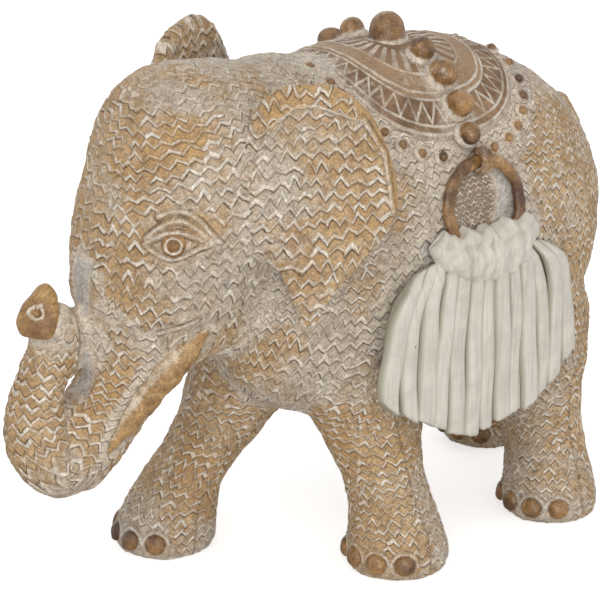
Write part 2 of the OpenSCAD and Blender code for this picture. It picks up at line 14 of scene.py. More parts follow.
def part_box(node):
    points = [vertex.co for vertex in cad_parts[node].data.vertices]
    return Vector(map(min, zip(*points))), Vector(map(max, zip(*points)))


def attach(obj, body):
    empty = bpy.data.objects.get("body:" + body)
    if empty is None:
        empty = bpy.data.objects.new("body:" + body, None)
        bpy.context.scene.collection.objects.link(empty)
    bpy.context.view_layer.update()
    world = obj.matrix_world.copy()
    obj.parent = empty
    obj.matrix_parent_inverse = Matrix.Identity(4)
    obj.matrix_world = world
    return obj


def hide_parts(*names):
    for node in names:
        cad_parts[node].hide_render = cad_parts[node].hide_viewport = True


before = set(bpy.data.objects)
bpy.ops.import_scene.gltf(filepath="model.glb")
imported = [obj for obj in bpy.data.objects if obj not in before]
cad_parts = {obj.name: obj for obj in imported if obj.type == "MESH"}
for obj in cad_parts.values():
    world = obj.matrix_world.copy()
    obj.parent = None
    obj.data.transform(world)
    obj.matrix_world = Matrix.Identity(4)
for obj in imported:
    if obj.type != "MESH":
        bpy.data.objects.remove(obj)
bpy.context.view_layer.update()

# %% [markdown]
# ## Working by hand, in code
# An operator acts on everything that is selected, so each step first chooses its own piece. A modifier is
# added, set and applied in one go. Places are handled in millimetres, as lists of points.


# %% Choosing, copying and finishing pieces
def choose(*pieces):
    bpy.ops.object.select_all(action="DESELECT")
    for piece in pieces:
        piece.select_set(True)
    bpy.context.view_layer.objects.active = pieces[0]


def blank_of(node, name):
    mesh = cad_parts[node].data.copy()
    mesh.materials.clear()
    blank = bpy.data.objects.new(name, mesh)
    bpy.context.scene.collection.objects.link(blank)
    choose(blank)
    bpy.ops.object.mode_set(mode="EDIT")
    bpy.ops.mesh.select_all(action="SELECT")
    bpy.ops.mesh.remove_doubles(threshold=1e-6)
    bpy.ops.object.mode_set(mode="OBJECT")
    return blank


def work(piece, kind, **settings):
    choose(piece)
    modifier = piece.modifiers.new(kind.title(), kind)
    for key, value in settings.items():
        setattr(modifier, key, value)
    bpy.ops.object.modifier_apply(modifier=modifier.name)


def points_of(piece):
    values = np.empty(len(piece.data.vertices) * 3, np.float32)
    piece.data.vertices.foreach_get("co", values)
    return values.reshape(-1, 3).astype(float) * 1000


def outward(piece):
    values = np.empty(len(piece.data.vertices) * 3, np.float32)
    piece.data.vertex_normals.foreach_get("vector", values)
    return values.reshape(-1, 3).astype(float)


def move_points(piece, places):
    piece.data.vertices.foreach_set("co", (places / 1000).astype(np.float32).ravel())
    piece.data.update()


def mark(piece, name, values):
    values = np.asarray(values, np.float32)
    kind = "FLOAT" if values.ndim == 1 else "FLOAT_VECTOR"
    layer = piece.data.attributes.new(name, kind, "POINT")
    layer.data.foreach_set("value" if values.ndim == 1 else "vector", values.ravel())


def box_mm(node):
    low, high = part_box(node)
    return np.array(low) * 1000, np.array(high) * 1000


# %% Measuring from one piece to another
def tree_of(mesh):
    return BVHTree.FromPolygons([v.co.copy() for v in mesh.vertices], [list(f.vertices) for f in mesh.polygons])


TREES = {name: tree_of(node.data) for name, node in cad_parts.items()}


def away_from(places, nodes, limit):
    found = np.full(len(places), float(limit))
    for name in nodes:
        low, high = box_mm(name)
        close_by = np.where(((places > low - limit) & (places < high + limit)).all(1))[0]
        for i in close_by:
            hit = TREES[name].find_nearest(Vector(places[i] / 1000), found[i] / 1000)
            if hit[3] is not None:
                found[i] = min(found[i], hit[3] * 1000)
    return found


WAVE_TURNS = np.array([[0.9, 0.3, 0.5], [-0.4, 0.8, 0.6], [0.5, -0.6, 0.8], [-0.7, -0.5, 0.6]])


def waves(places, length, seed):
    total = np.zeros(len(places))
    for i, (turn, rate) in enumerate(zip(WAVE_TURNS, (1.0, 1.37, 0.71, 1.9))):
        total += np.sin(2 * np.pi / length * rate * (places @ turn) + seed * (i + 1))
    return total / 2.6



# %% The head turns about the neck, as in the part's source
# The source counts x from the torso's middle, and SHIFT takes such an x into the centred frame
SHIFT = 23.12
NECK = np.array([-42 + SHIFT, 0, 99.6])
TURN, TILT = math.radians(-8), math.radians(3)
HEAD_TURN = np.array([[math.cos(TURN), -math.sin(TURN), 0], [math.sin(TURN), math.cos(TURN), 0], [0, 0, 1]])
HEAD_TILT = np.array([[1, 0, 0], [0, math.cos(TILT), -math.sin(TILT)], [0, math.sin(TILT), math.cos(TILT)]])
HEAD_TURN = HEAD_TURN @ HEAD_TILT


def turned(places):
    return (places - NECK) @ HEAD_TURN.T + NECK


def unturned(places):
    return (places - NECK) @ HEAD_TURN + NECK


# %% [markdown]
# ## The carved skin
# The real figure was carved after its blocks were glued, so torso, head, trunk, ears, legs and tail flow
# into each other. The blanks are swelled a little, joined, remeshed as one skin and smoothed, which rounds
# the inner corners. Then the skin is cut apart again along the glue lines, so every piece stays separate.

# %% Copy the blanks and swell them a little
LEGS = ["leg_front_left", "leg_front_right", "leg_hind_left", "leg_hind_right"]
EARS = ["ear_left", "ear_right"]
SKIN = ["torso", "head", "trunk", "tail"] + LEGS + EARS
PLUGS = ["leg_dowels", "neck_dowel", "trunk_dowel", "ear_pegs", "tail_peg", "eye_left", "eye_right"]
SWELL, VOXEL = 0.0005, 0.00118
blanks = [blank_of(name, "blank_" + name) for name in SKIN + PLUGS]
for blank in blanks:
    work(blank, "DISPLACE", strength=SWELL, mid_level=0.0)
print("blanks copied:", len(blanks))

# %% Open the gap between the hanging trunk and its curl
FRONT_BACK, CURL_FORTH, CURL_FROM = 2.6, -0.7, -97
hose = blanks[SKIN.index("trunk")]
flat = unturned(points_of(hose))
middle = np.interp(flat[:, 2], [37, 40, 52, 66, 80, 94], [-95, -94, -85.5, -81.5, -78.5, -74]) + SHIFT
hanging = flat[:, 0] > CURL_FROM + SHIFT
back = np.interp(flat[:, 2], [43, 52, 68, 78], [0, FRONT_BACK, FRONT_BACK, 0])
back = back * np.clip((middle - flat[:, 0]) / 6, 0, 1)
forth = np.interp(flat[:, 2], [46, 56, 68, 76], [0, CURL_FORTH, CURL_FORTH, 0])
flat[:, 0] += np.where(hanging, back, forth)
move_points(hose, turned(flat))

# %% Join the blanks and remesh them as one skin
choose(*blanks)
bpy.ops.object.join()
skin = bpy.context.object
work(skin, "REMESH", mode="VOXEL", voxel_size=VOXEL)
print("skin faces before the fine pass:", len(skin.data.polygons))

# %% Smooth the skin, but keep the thin ears and the tail crisp
places = points_of(skin)
from_ears = away_from(places, EARS, 2.0)
from_body = away_from(places, ["head", "torso"], 6.0)
soften = np.where(from_ears < 1.9, np.interp(from_body, [1.5, 5.0], [1.0, 0.2]), 1.0)
soften = np.where(away_from(places, ["tail"], 1.2) < 1.1, 0.3, soften)
ahead = np.abs(unturned(places)[:, 0] - (-61.5 + SHIFT))
height = np.interp(places[:, 2], [68, 78, 110, 117], [0, 1, 1, 0])
flow = np.clip((12 - ahead) / 5, 0, 1) * np.clip((8 - away_from(places, EARS, 8.0)) / 5, 0, 1) * height
near_head, near_torso = away_from(places, ["head"], 10.0), away_from(places, ["torso"], 10.0)
neck = np.clip((9 - near_head) / 4, 0, 1) * np.clip((9 - near_torso) / 4, 0, 1)
for name, weights, passes in (("flow", flow, 300), ("neck", neck, 160), ("soften", soften, 22)):
    weighted = skin.vertex_groups.new(name=name)
    for i in np.where(weights > 0)[0]:
        weighted.add([int(i)], float(weights[i]), "REPLACE")
    work(skin, "SMOOTH", factor=0.5, iterations=passes, vertex_group=name)

# %% Fill the nape, where the back runs straight into the crown
places = points_of(skin)
NAPE_X, NAPE_LIFT = -41.5, 3.9
nape = np.exp(-(((places[:, 0] - NAPE_X - SHIFT) / 7) ** 2) - ((places[:, 1] - 5) / 22) ** 2)
nape *= np.clip(outward(skin)[:, 2] / 0.5, 0, 1) * (places[:, 2] > 95)
move_points(skin, places + np.outer(NAPE_LIFT * nape, [0, 0, 1]))

# %% Mark the hollows, where the white wash stays
links = np.empty(len(skin.data.edges) * 2, np.int32)
skin.data.edges.foreach_get("vertices", links)
links = links.reshape(-1, 2)
count = np.bincount(links.ravel(), minlength=len(skin.data.vertices))
places = relaxed = points_of(skin)
for _ in range(50):
    total = np.zeros_like(relaxed)
    for axis in range(3):
        total[:, axis] += np.bincount(links[:, 0], relaxed[links[:, 1], axis], len(relaxed))
        total[:, axis] += np.bincount(links[:, 1], relaxed[links[:, 0], axis], len(relaxed))
    relaxed = total / count[:, None]
hollow = ((relaxed - places) * outward(skin)).sum(1)
mark(skin, "hollow", hollow)
print("hollows in mm:", hollow.min().round(2), hollow.max().round(2))

# %% Find which blank each face came from
centres = [face.center for face in skin.data.polygons]
reach = np.full((len(SKIN), len(centres)), 1.0)
for row, name in enumerate(SKIN):
    low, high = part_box(name)
    for i, c in enumerate(centres):
        if all(low[a] - 0.006 < c[a] < high[a] + 0.006 for a in range(3)):
            reach[row, i] = TREES[name].find_nearest(c)[3]
owner = reach.argmin(0)
sides = {}
for face in skin.data.polygons:
    for key in face.edge_keys:
        sides.setdefault(key, []).append(face.index)
pairs = np.array([faces for faces in sides.values() if len(faces) == 2])
for _ in range(12):
    votes = np.zeros((len(owner), len(SKIN)), int)
    votes[np.arange(len(owner)), owner] = 1
    tally = votes.copy()
    np.add.at(tally, pairs[:, 0], votes[pairs[:, 1]])
    np.add.at(tally, pairs[:, 1], votes[pairs[:, 0]])
    owner = tally.argmax(1)
for name in SKIN:
    skin.data.materials.append(bpy.data.materials.new("part_" + name))
skin.data.polygons.foreach_set("material_index", owner.astype(np.int32))
print("faces of each piece:", dict(zip(SKIN, np.bincount(owner, minlength=len(SKIN)).tolist())))

# %% Cut the skin apart
work(skin, "SUBSURF", levels=1, render_levels=1)
choose(skin)
bpy.ops.object.mode_set(mode="EDIT")
bpy.ops.mesh.select_all(action="SELECT")
bpy.ops.mesh.separate(type="MATERIAL")
bpy.ops.object.mode_set(mode="OBJECT")
carved = {}
for piece in list(bpy.context.selected_objects):
    index = piece.data.polygons[0].material_index
    slot = piece.data.materials[min(index, len(piece.data.materials) - 1)].name
    carved[slot.replace("part_", "")] = piece


# %% Close the open end of each piece
def close(piece):
    choose(piece)
    bpy.ops.object.mode_set(mode="EDIT")
    bpy.ops.mesh.select_mode(type="EDGE")
    bpy.ops.mesh.select_all(action="DESELECT")
    bpy.ops.mesh.select_non_manifold(
        extend=False, use_wire=False, use_boundary=True,
        use_multi_face=False, use_non_contiguous=False, use_verts=False,
    )
    bpy.ops.mesh.mark_sharp()
    bpy.ops.object.mode_set(mode="OBJECT")
    seam = np.zeros(len(piece.data.vertices))
    for edge in piece.data.edges:
        if edge.select:
            seam[list(edge.vertices)] = 1
    bpy.ops.object.mode_set(mode="EDIT")
    bpy.ops.mesh.fill_holes(sides=0)
    bpy.ops.mesh.select_mode(type="FACE")
    bpy.ops.mesh.select_all(action="DESELECT")
    bpy.ops.mesh.select_face_by_sides(number=4, type="GREATER")
    bpy.ops.mesh.poke()
    bpy.ops.mesh.select_all(action="SELECT")
    bpy.ops.mesh.normals_make_consistent(inside=False)
    bpy.ops.object.mode_set(mode="OBJECT")
    bpy.ops.object.shade_smooth()
    return np.concatenate([seam, np.ones(len(piece.data.vertices) - len(seam))])


seams = {}
for name, piece in carved.items():
    piece.name = piece.data.name = "carved_" + name
    piece.data.materials.clear()
    seams[name] = close(piece)
    print(piece.name, len(piece.data.polygons), "faces")

# %% [markdown]
# ## Rows of zigzags
# The carver cut rows of zigzags over the whole skin: round the back and the head, round each leg, down the
# ears and across the trunk. Each vertex gets two lengths in millimetres, how far along its row it lies and
# how far down the rows. The cuts in the mesh and the white lines in the finish both read these two.

# %% Lengths along and down the rows
ROW, PERIOD, SWING = 2.95, 3.5, 0.84


def rows_down_from(places, front, rear, top, size):
    middle = np.clip(places[:, 0], front, rear)
    over = places[:, 0] - middle
    side = np.hypot(over, places[:, 1])
    down = np.clip(top - places[:, 2], 0, None)
    across = (side**1.3 + down**1.3) ** (1 / 1.3)
    along = middle + np.sign(over) * np.arctan2(np.abs(over), np.abs(places[:, 1])) * side
    return np.stack([along + 200, across], 1) / size


def rows_round_leg(places):
    height = places[:, 2]
    steps = np.arange(0, 74, 3)
    near = [np.abs(height - h) < 4 for h in steps]
    middles = np.array([places[n].mean(0) if n.any() else places.mean(0) for n in near])
    x = places[:, 0] - np.interp(height, steps, middles[:, 0])
    y = places[:, 1] - np.interp(height, steps, middles[:, 1])
    return np.stack([np.arctan2(x, y) * 25 * PERIOD / (2 * np.pi) + 100, (130 - height) / 0.8], 1)


def rows_down_head(places):
    return rows_down_from(places, -49, -41, head_top + 1, 1.0)


def rows_down_ear(places):
    down = np.clip(head_top + 1 - places[:, 2], 0, None)
    return np.stack([places[:, 0] + 0.4 * (np.abs(places[:, 1]) - 24) + 200, 18 + 0.92 * down], 1)


# %% Middle line of the trunk: place, height and radius of its stations
TRUNK = np.array([
    [-74, 94, 16.5], [-78.5, 80, 16], [-81.5, 66, 12.8], [-85.5, 52, 10.6],
    [-94, 40, 10.1], [-100, 37, 9.1], [-105.5, 45.5, 7.5], [-103.5, 57, 6],
    [-100.7, 65, 5.3], [-99.7, 70.5, 5.1], [-102.5, 74, 5.1], [-105, 77, 5.1],
])


def trunk_middle(count):
    t = np.linspace(0, len(TRUNK) - 1.001, count)
    i = t.astype(int)
    f = (t - i)[:, None]
    last = len(TRUNK) - 1
    a, b, c, d = TRUNK[np.maximum(i - 1, 0)], TRUNK[i], TRUNK[i + 1], TRUNK[np.minimum(i + 2, last)]
    s = b + 0.5 * f * (c - a + f * (2 * a - 5 * b + 4 * c - d + f * (3 * (b - c) + d - a)))
    return turned(np.stack([s[:, 0] + SHIFT, 0 * s[:, 0], s[:, 1]], 1)), s[:, 2]


def rows_across_trunk(places):
    middle, radius = trunk_middle(240)
    ahead = np.gradient(middle, axis=0)
    ahead /= np.linalg.norm(ahead, axis=1)[:, None]
    length = np.concatenate([[0], np.cumsum(np.linalg.norm(np.diff(middle, axis=0), axis=1))])
    i = (np.linalg.norm(places[:, None] - middle[None], axis=2) / radius[None]).argmin(1)
    offset = places - middle[i]
    front = np.cross(HEAD_TURN[:, 1], ahead[i])
    around = np.abs(np.arctan2(offset @ HEAD_TURN[:, 1], (offset * front).sum(1))) * radius[i]
    along = length[i] + (offset * ahead[i]).sum(1)
    return np.stack([around, along], 1)


def above_trunk(places):
    return places[:, 2] - 73 - 2.5 * waves(places, 17, 3.0)


def rows_from_head_to_trunk(places):
    upper = above_trunk(places)[:, None] > 0
    return np.where(upper, rows_down_head(places), rows_across_trunk(places) / 0.92)


# %% Uneven rows, as cut by hand, and the distance to the nearest line
def uneven(places, rows, seed):
    swing = 1.0 + 0.3 * waves(places, 10, seed + 0.9)
    along = rows[:, 0] + 0.8 * waves(places, 23, seed) + 0.12 * waves(places, 6, seed + 2.2)
    down = rows[:, 1] + 1.2 * waves(places, 31, seed + 1.7) + 0.3 * waves(places, 9, seed + 0.4)
    return np.stack([along, down, swing], 1)


def zigzag(rows):
    nearest = np.full(len(rows), 9.0)
    first = np.floor(rows[:, 1] / ROW)
    for k in (first, first + 1):
        step = rows[:, 0] / PERIOD
        turn = step + 0.13 * np.sin(2.4 * k) + 0.25 * np.sin(0.8 * step + 1.7 * k)
        deep = 2 + 0.5 * np.sin(1.9 * np.floor(turn) + 2.7 * k)
        tent = 1 - np.abs(2 * (turn - np.floor(turn)) - 1)
        line = k * ROW + SWING * rows[:, 2] * (1 - deep * tent)
        below = 0.72 * (rows[:, 1] - line)
        nearest = np.where(np.abs(below) < np.abs(nearest), below, nearest)
    return nearest


def drawn(flat, line):
    nearest = np.full(len(flat), 9.0)
    for a, b in zip(np.array(line)[:-1], np.array(line)[1:]):
        share = np.clip(((flat - a) @ (b - a)) / ((b - a) @ (b - a)), 0, 1)
        nearest = np.minimum(nearest, np.linalg.norm(flat - a - share[:, None] * (b - a), axis=1))
    return nearest


# %% [markdown]
# ## Single lines in the skin
# The eye has two lids and two brow lines, cut one by one round a smooth patch, and the mouth is one line
# over the tusk. Each nail sits under an arch. The rear rim of the ear is plain and honey coloured, inside
# a line that frames the zigzag panel. All are distances to a few drawn lines, measured on the surface.

# %% Lines round the eyes
EYE_PLACE, EYE_OUT = np.array([-80.31 + SHIFT, -20.4, 94.96]), np.array([-0.508, -0.86, 0.0485])
EYE_LINES = [
    [(-6.6, -0.2), (-4.2, 1.3), (-1.6, 2.6), (0.6, 2.9), (3.0, 2.4), (5.6, 1.0), (8.8, -0.7)],
    [(-6.6, -0.2), (-4.8, -1.6), (-2.6, -2.9), (-0.4, -3.5), (2.9, -2.6), (5.6, -1.4), (8.8, -0.7)],
    [(-6.2, 1.2), (-3.6, 3.6), (-1, 5.1), (0.9, 5.5), (3.2, 4.9), (5.6, 3.0), (7.6, 0.9), (9.8, -0.4)],
    [(-3.6, 6.2), (-1, 7.4), (1.3, 7.8), (3.8, 7.0), (6.2, 4.9), (8.4, 2.0), (10.8, -0.6)],
]


def eye_frame(side):
    flip = np.array([1, side, 1])
    out = EYE_OUT * flip
    back = np.array([-EYE_OUT[1], EYE_OUT[0], 0]) * flip
    return turned((EYE_PLACE * flip)[None])[0], HEAD_TURN @ out, HEAD_TURN @ back


def eye_lines(places):
    cuts, plain = np.full(len(places), 9.0), np.zeros(len(places))
    for side in (1, -1):
        middle, out, back = eye_frame(side)
        offset = places - middle
        flat = np.stack([offset @ back, offset[:, 2]], 1)
        near = (np.abs(flat) < 14).all(1) & (np.abs(offset @ out) < 9)
        lines = np.min([drawn(flat[near], line) for line in EYE_LINES], 0)
        cuts[near] = np.minimum(cuts[near], lines)
        patch = np.hypot((flat[:, 0] - 1.6) / 9.4, (flat[:, 1] - 1.9) / 6.6)
        plain = np.maximum(plain, np.where(near, np.clip((1.1 - patch) / 0.2, 0, 1), 0))
    return cuts, plain


# %% Line of the mouth, over the root of each tusk
MOUTH = [(-52, 73.4), (-56, 72), (-60, 70.6), (-64.5, 69.7), (-68.3, 69.3)]


def mouth_line(places):
    near = drawn(places[:, [0, 2]], MOUTH)
    beside = np.abs(places[:, 1]) > 8
    corner = ((places[:, 0] + 57) / 4.5) ** 2 + ((places[:, 2] - 74) / 1.7) ** 2
    return np.where(beside, near, 9.0), beside * np.clip(2 - near, 0, 1), beside * np.exp(-corner)


# %% Arches over the nails
def islands(mesh):
    group = np.arange(len(mesh.vertices))
    pairs = np.array([e.vertices[:] for e in mesh.edges])
    while True:
        low = group.copy()
        np.minimum.at(low, pairs[:, 0], group[pairs[:, 1]])
        np.minimum.at(low, pairs[:, 1], group[pairs[:, 0]])
        low = low[low]
        if (low == group).all():
            return [np.where(group == g)[0] for g in np.unique(group)]
        group = low


def nail_arches(places, node):
    blank = blank_of(node, "count_" + node)
    corners = points_of(blank)
    cuts, plain = np.full(len(places), 9.0), np.zeros(len(places))
    for island in islands(blank.data):
        middle = corners[island].mean(0)
        away = np.linalg.norm(places - middle, axis=1)
        above = places[:, 2] - middle[2]
        cuts = np.minimum(cuts, np.where(above > -0.6, np.abs(away - 3.3), 9.0))
        plain = np.maximum(plain, np.clip((4.6 - away) / 0.8, 0, 1))
    bpy.data.objects.remove(blank)
    return cuts, plain


# %% Rim and panel of an ear
EAR_OUTLINE = [
    (0.1, 0.09), (0.25, 0.015), (0.46, 0.0), (0.72, 0.06), (0.93, 0.26), (1.0, 0.5), (0.84, 0.68), (0.6, 0.84),
    (0.45, 0.99), (0.32, 0.93), (0.17, 0.74),
]


def ear_rim(places, facing):
    flat = unturned(places)
    spot = np.stack([flat[:, 0] - (-64 + SHIFT), 130.5 - flat[:, 2]], 1)
    outline = np.array(EAR_OUTLINE) * [33, 60]
    rear = drawn(spot, outline[3:6])
    top = drawn(spot, outline[:4])
    inner = np.minimum(rear - 1.6, top - 4.4)
    outside = (facing * np.sign(places[:, 1]) > 0.2) & (spot[:, 1] < 31) & (spot[:, 0] > 4)
    honey = np.where(outside, np.clip(0.5 - inner, 0, 0.8), 0.0)
    plain = np.where(outside, np.clip((1.9 - rear) / 0.6, 0, 1), 0.0)
    haze = np.where(outside & (inner > 0), np.clip((12 - top) / 7, 0, 1), 0.0)
    return np.where(outside, np.abs(inner), 9.0), plain, honey, haze


# %% [markdown]
# ## Carving the pieces
# Each vertex gets five marks: its distance to a single line, how plain the place is, how honey coloured, how
# white with wash and how far it is sunk. A small function for each piece sets them. Then the skin is lifted
# along the lines and lowered beside them, and the finish later reads the same marks.

# %% Marks of a piece, and the cut that follows them
KEYS = ("plain", "wash", "honey", "sunk")
FAR = 9.0


def unmarked(count):
    return {"cuts": np.full(count, FAR), **{key: np.zeros(count) for key in KEYS}}


def at_least(marks, **values):
    for key, value in values.items():
        marks[key] = np.maximum(marks[key], value)


def carve(piece, rows, marks, seam, depth):
    places, cuts, plain = points_of(piece), marks["cuts"], marks["plain"]
    below = zigzag(rows)
    ridge = np.exp(-((below / 0.45) ** 2)) - 0.5 * np.exp(-(((below - 0.9) / 0.35) ** 2))
    single = 1.5 * np.exp(-((cuts / 0.55) ** 2)) - 0.45 * np.exp(-(((cuts - 1.0) / 0.4) ** 2)) * plain
    ridge = np.maximum(ridge * (1 - plain), single)
    lumps = 0.16 * waves(places, 15, 2.0) + 0.1 * waves(places, 7, 5.0)
    lumps += 0.3 * marks["honey"] - 0.5 * marks["sunk"]
    places = places + outward(piece) * ((lumps + depth * ridge) * (1 - seam))[:, None]
    places[:, 2] = np.maximum(places[:, 2], 0.0)
    move_points(piece, places)
    mark(piece, "rows", rows)
    mark(piece, "tone", np.stack([plain, marks["wash"], marks["honey"]], 1))
    mark(piece, "cuts", cuts)


# %% Wash in the hollows and round the trappings
DRESS = ["saddle_cloth", "cloth_studs"] + [
    node + side for node in ("ring", "tassel_head", "tassel_fringe", "link") for side in ("_left", "_right")
]
TUSKS = ["tusk_left", "tusk_right"]
TRIM = {
    "torso": (EARS, 7.0, DRESS, 4.0),
    "head": (["torso"], 5.0, TUSKS, 1.6),
    "trunk": (["head"], 1.5, TUSKS + ["trunk_tip"], 3.2),
    "ear_left": (["torso"], 3.0, ["saddle_cloth", "cloth_studs"], 2.0),
    "ear_right": (["torso"], 3.0, ["saddle_cloth", "cloth_studs"], 2.0),
}


def first_wash(name, piece, places):
    hollow = np.empty(len(places), np.float32)
    piece.data.attributes["hollow"].data.foreach_get("value", hollow)
    wash = np.clip(hollow.astype(float) / 1.1, 0, 1)
    wide, reach, tight, edge = TRIM.get(name, ([], 1.0, [], 1.0))
    for nodes, width, most in ((wide, reach, 0.75), (tight, edge, 1.0)):
        if nodes:
            near = away_from(places, nodes, 2 * width)
            wash = np.maximum(wash, most * np.exp(-((near / width) ** 2)))
    return wash


# %% Marks on the head: eyes, pale crown and cheeks, mouth
def mark_mouth(places, marks):
    line, near, marks["honey"] = mouth_line(places)
    marks["cuts"] = np.minimum(marks["cuts"], line)
    at_least(marks, plain=near)


def mark_head(name, places, facing, rows, marks):
    marks["cuts"], marks["plain"] = eye_lines(places)
    crown = np.clip((facing[:, 2] - 0.5) / 0.3, 0, 1)
    at_least(marks, plain=0.4 * crown, wash=0.32 * crown)
    for side in (1, -1):
        middle, out, back = eye_frame(side)
        offset = places - middle
        cheek = np.hypot((offset @ back - 15) / 9, (offset[:, 2] + 10) / 8)
        at_least(marks, wash=0.4 * np.exp(-(cheek**2)) * (np.abs(offset @ out) < 12))
    mark_mouth(places, marks)


# %% Marks on the trunk: mouth, cold grey strip down its front, plain end
def mark_trunk(name, places, facing, rows, marks):
    mark_mouth(places, marks)
    around = rows_across_trunk(places)[:, 0]
    hanging = np.clip((unturned(places)[:, 0] - SHIFT - CURL_FROM) / 3, 0, 1)
    strip = np.clip((5.8 - around) / 2.4, 0, 1) * (hanging * np.clip((93 - places[:, 2]) / 7, 0, 1))
    end = np.exp(-((away_from(places, ["trunk_tip"], 9.0) / 5) ** 2))
    meet = np.clip(1.6 - np.abs(above_trunk(places)), 0, 1)
    at_least(marks, plain=np.maximum.reduce([strip, 0.9 * end, meet]))
    at_least(marks, wash=np.maximum(1.1 * strip, 0.45 * end))
    marks["sunk"] = strip


# %% Marks on legs and ears: nails, feet paler towards the floor, rims
def mark_leg(name, places, facing, rows, marks):
    marks["cuts"], marks["plain"] = nail_arches(places, name.replace("leg", "nails"))
    at_least(marks, wash=0.5 * np.clip((9 - places[:, 2]) / 6, 0, 1))


def mark_ear(name, places, facing, rows, marks):
    marks["cuts"], marks["plain"], marks["honey"], haze = ear_rim(places, facing[:, 1])
    at_least(marks, wash=0.5 * haze + 0.2 * (name == "ear_right"))


# %% Marks on the tail: small zigzags, then the hairs of the tuft
def mark_tail(name, places, facing, rows, marks):
    low, high = box_mm(name)
    hair = np.abs((places[:, 1] / 1.9 + 0.15 * waves(places, 9, 1.0)) % 1 - 0.5) * 1.9
    tuft = places[:, 2] - low[2] - 0.4 * (high[2] - low[2]) + 1.2 * np.abs(places[:, 1]) < 0
    marks["cuts"], marks["plain"] = np.where(tuft, hair, FAR), np.where(tuft, 1.0, 0.4)
    rows[:, :2] *= 1.4
    marks["honey"] += 0.6
    marks["sunk"] -= 1.2


# %% Marks on the torso: groove at the tail, pale withers, shoulder paled partly as painted light, dark patch inside each ring
RING_INSIDE, RING_ROWS, SCRIBBLE, COLD = 11, 1.9, -0.6, 1.1


def mark_torso(name, places, facing, rows, marks):
    groove = np.exp(-((away_from(places, ["tail"], 4.0) / 1.3) ** 2))
    marks["sunk"] = groove
    at_least(marks, plain=groove, wash=0.8 * groove)
    # The shoulder, in shade under the ear and neck, gets extra wash: partly white haze, partly painted light
    # that lifts its shade.
    shoulder_wash_and_lift = np.clip((100 - places[:, 2]) / 20, 0, 1) * np.clip((15 - places[:, 0]) / 20, 0, 1)
    marks["wash"] = marks["wash"] + 0.35 * shoulder_wash_and_lift
    withers = np.clip((facing[:, 2] - 0.6) / 0.3, 0, 1)
    at_least(marks, plain=0.4 * withers, wash=0.45 * withers)
    for ring in ("ring_left", "ring_right"):
        low, high = box_mm(ring)
        offset = (places - (low + high) / 2)[:, [0, 2]]
        within = (places[:, 1] * low[1] > 0) & (np.linalg.norm(offset, axis=1) < RING_INSIDE)
        rows[within, :2] *= RING_ROWS
        sickle = np.clip((np.linalg.norm(offset - [-5.5, 2], axis=1) - 9.5) / 1.5, 0, 1) * within
        at_least(marks, plain=sickle)
        marks["wash"] = np.where(within, SCRIBBLE, marks["wash"])
        marks["wash"] = np.where(sickle > 0, COLD * sickle, marks["wash"])


# %% Cut everything into the skin
torso_low, torso_high = box_mm("torso")
torso_x = (torso_low[0] + torso_high[0]) / 2
head_top = box_mm("head")[1][2]


def rows_down_torso(places):
    return rows_down_from(places, torso_x - 30, torso_x + 22, torso_high[2] + 1, 0.84)


WAYS = {
    "torso": (rows_down_torso, mark_torso, 0.26),
    "head": (rows_down_head, mark_head, 0.34),
    "trunk": (rows_from_head_to_trunk, mark_trunk, 0.3),
    "tail": (rows_down_torso, mark_tail, 0.26),
    **{leg: (rows_round_leg, mark_leg, 0.26) for leg in LEGS},
    **{ear: (rows_down_ear, mark_ear, 0.34) for ear in EARS},
}
for number, name in enumerate(SKIN):
    piece, (rows_of, mark_piece, depth) = carved[name], WAYS[name]
    places, facing = points_of(piece), outward(piece)
    seed = 1 if name in EARS + ["head", "trunk"] else number
    rows = uneven(places, rows_of(places), seed)
    marks = unmarked(len(places))
    marks["wash"] = first_wash(name, piece, places)
    mark_piece(name, places, facing, rows, marks)
    carve(piece, rows, marks, seams[name], depth)
    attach(piece, "root")
    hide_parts(name)
print("rows cut on", len(SKIN), "pieces")

# %% [markdown]
# ## Finishes
# The finishes share three effects: the zigzag line itself, the grain and stain of the wood, and the white
# wash that stays in hollows. Each is a node group with its own inputs, placed in every finish that shows it.


# %% Small helpers for shader nodes
def put(tree, kind, inputs=None, **settings):
    made = tree.nodes.new(kind)
    for key, value in settings.items():
        setattr(made, key, value)
    for key, value in (inputs or {}).items():
        if isinstance(value, bpy.types.NodeSocket):
            tree.links.new(value, made.inputs[key])
        else:
            made.inputs[key].default_value = value
    return made


def sums(tree, operation, a, b=0.0, c=0.0):
    return put(tree, "ShaderNodeMath", {0: a, 1: b, 2: c}, operation=operation).outputs[0]


def ramp(tree, value, low, high, start=0.0, end=1.0):
    sockets = {"Value": value, "From Min": low, "From Max": high, "To Min": start, "To Max": end}
    return put(tree, "ShaderNodeMapRange", sockets, interpolation_type="SMOOTHSTEP").outputs[0]


def noise(tree, place, scale, detail=3.0, rough=0.6):
    sockets = {"Vector": place, "Scale": scale, "Detail": detail, "Roughness": rough}
    return put(tree, "ShaderNodeTexNoise", sockets).outputs[0]


def stretched(tree, place, scale, detail=4.0, rough=0.6):
    drawn_out = put(tree, "ShaderNodeMapping", {"Vector": place, "Scale": scale}).outputs[0]
    return noise(tree, drawn_out, 1.0, detail, rough)


def mixed(tree, share, a, b):
    made = put(tree, "ShaderNodeMix", data_type="RGBA")
    for key, value in ((0, share), (6, a), (7, b)):
        if isinstance(value, bpy.types.NodeSocket):
            tree.links.new(value, made.inputs[key])
        else:
            made.inputs[key].default_value = value
    return made.outputs[2]


def group(name, inputs, outputs):
    tree = bpy.data.node_groups.new(name, "ShaderNodeTree")
    for direction, sockets in (("INPUT", inputs), ("OUTPUT", outputs)):
        for key, kind in sockets.items():
            tree.interface.new_socket(key, in_out=direction, socket_type="NodeSocket" + kind)
    return tree, tree.nodes.new("NodeGroupInput").outputs, tree.nodes.new("NodeGroupOutput").inputs


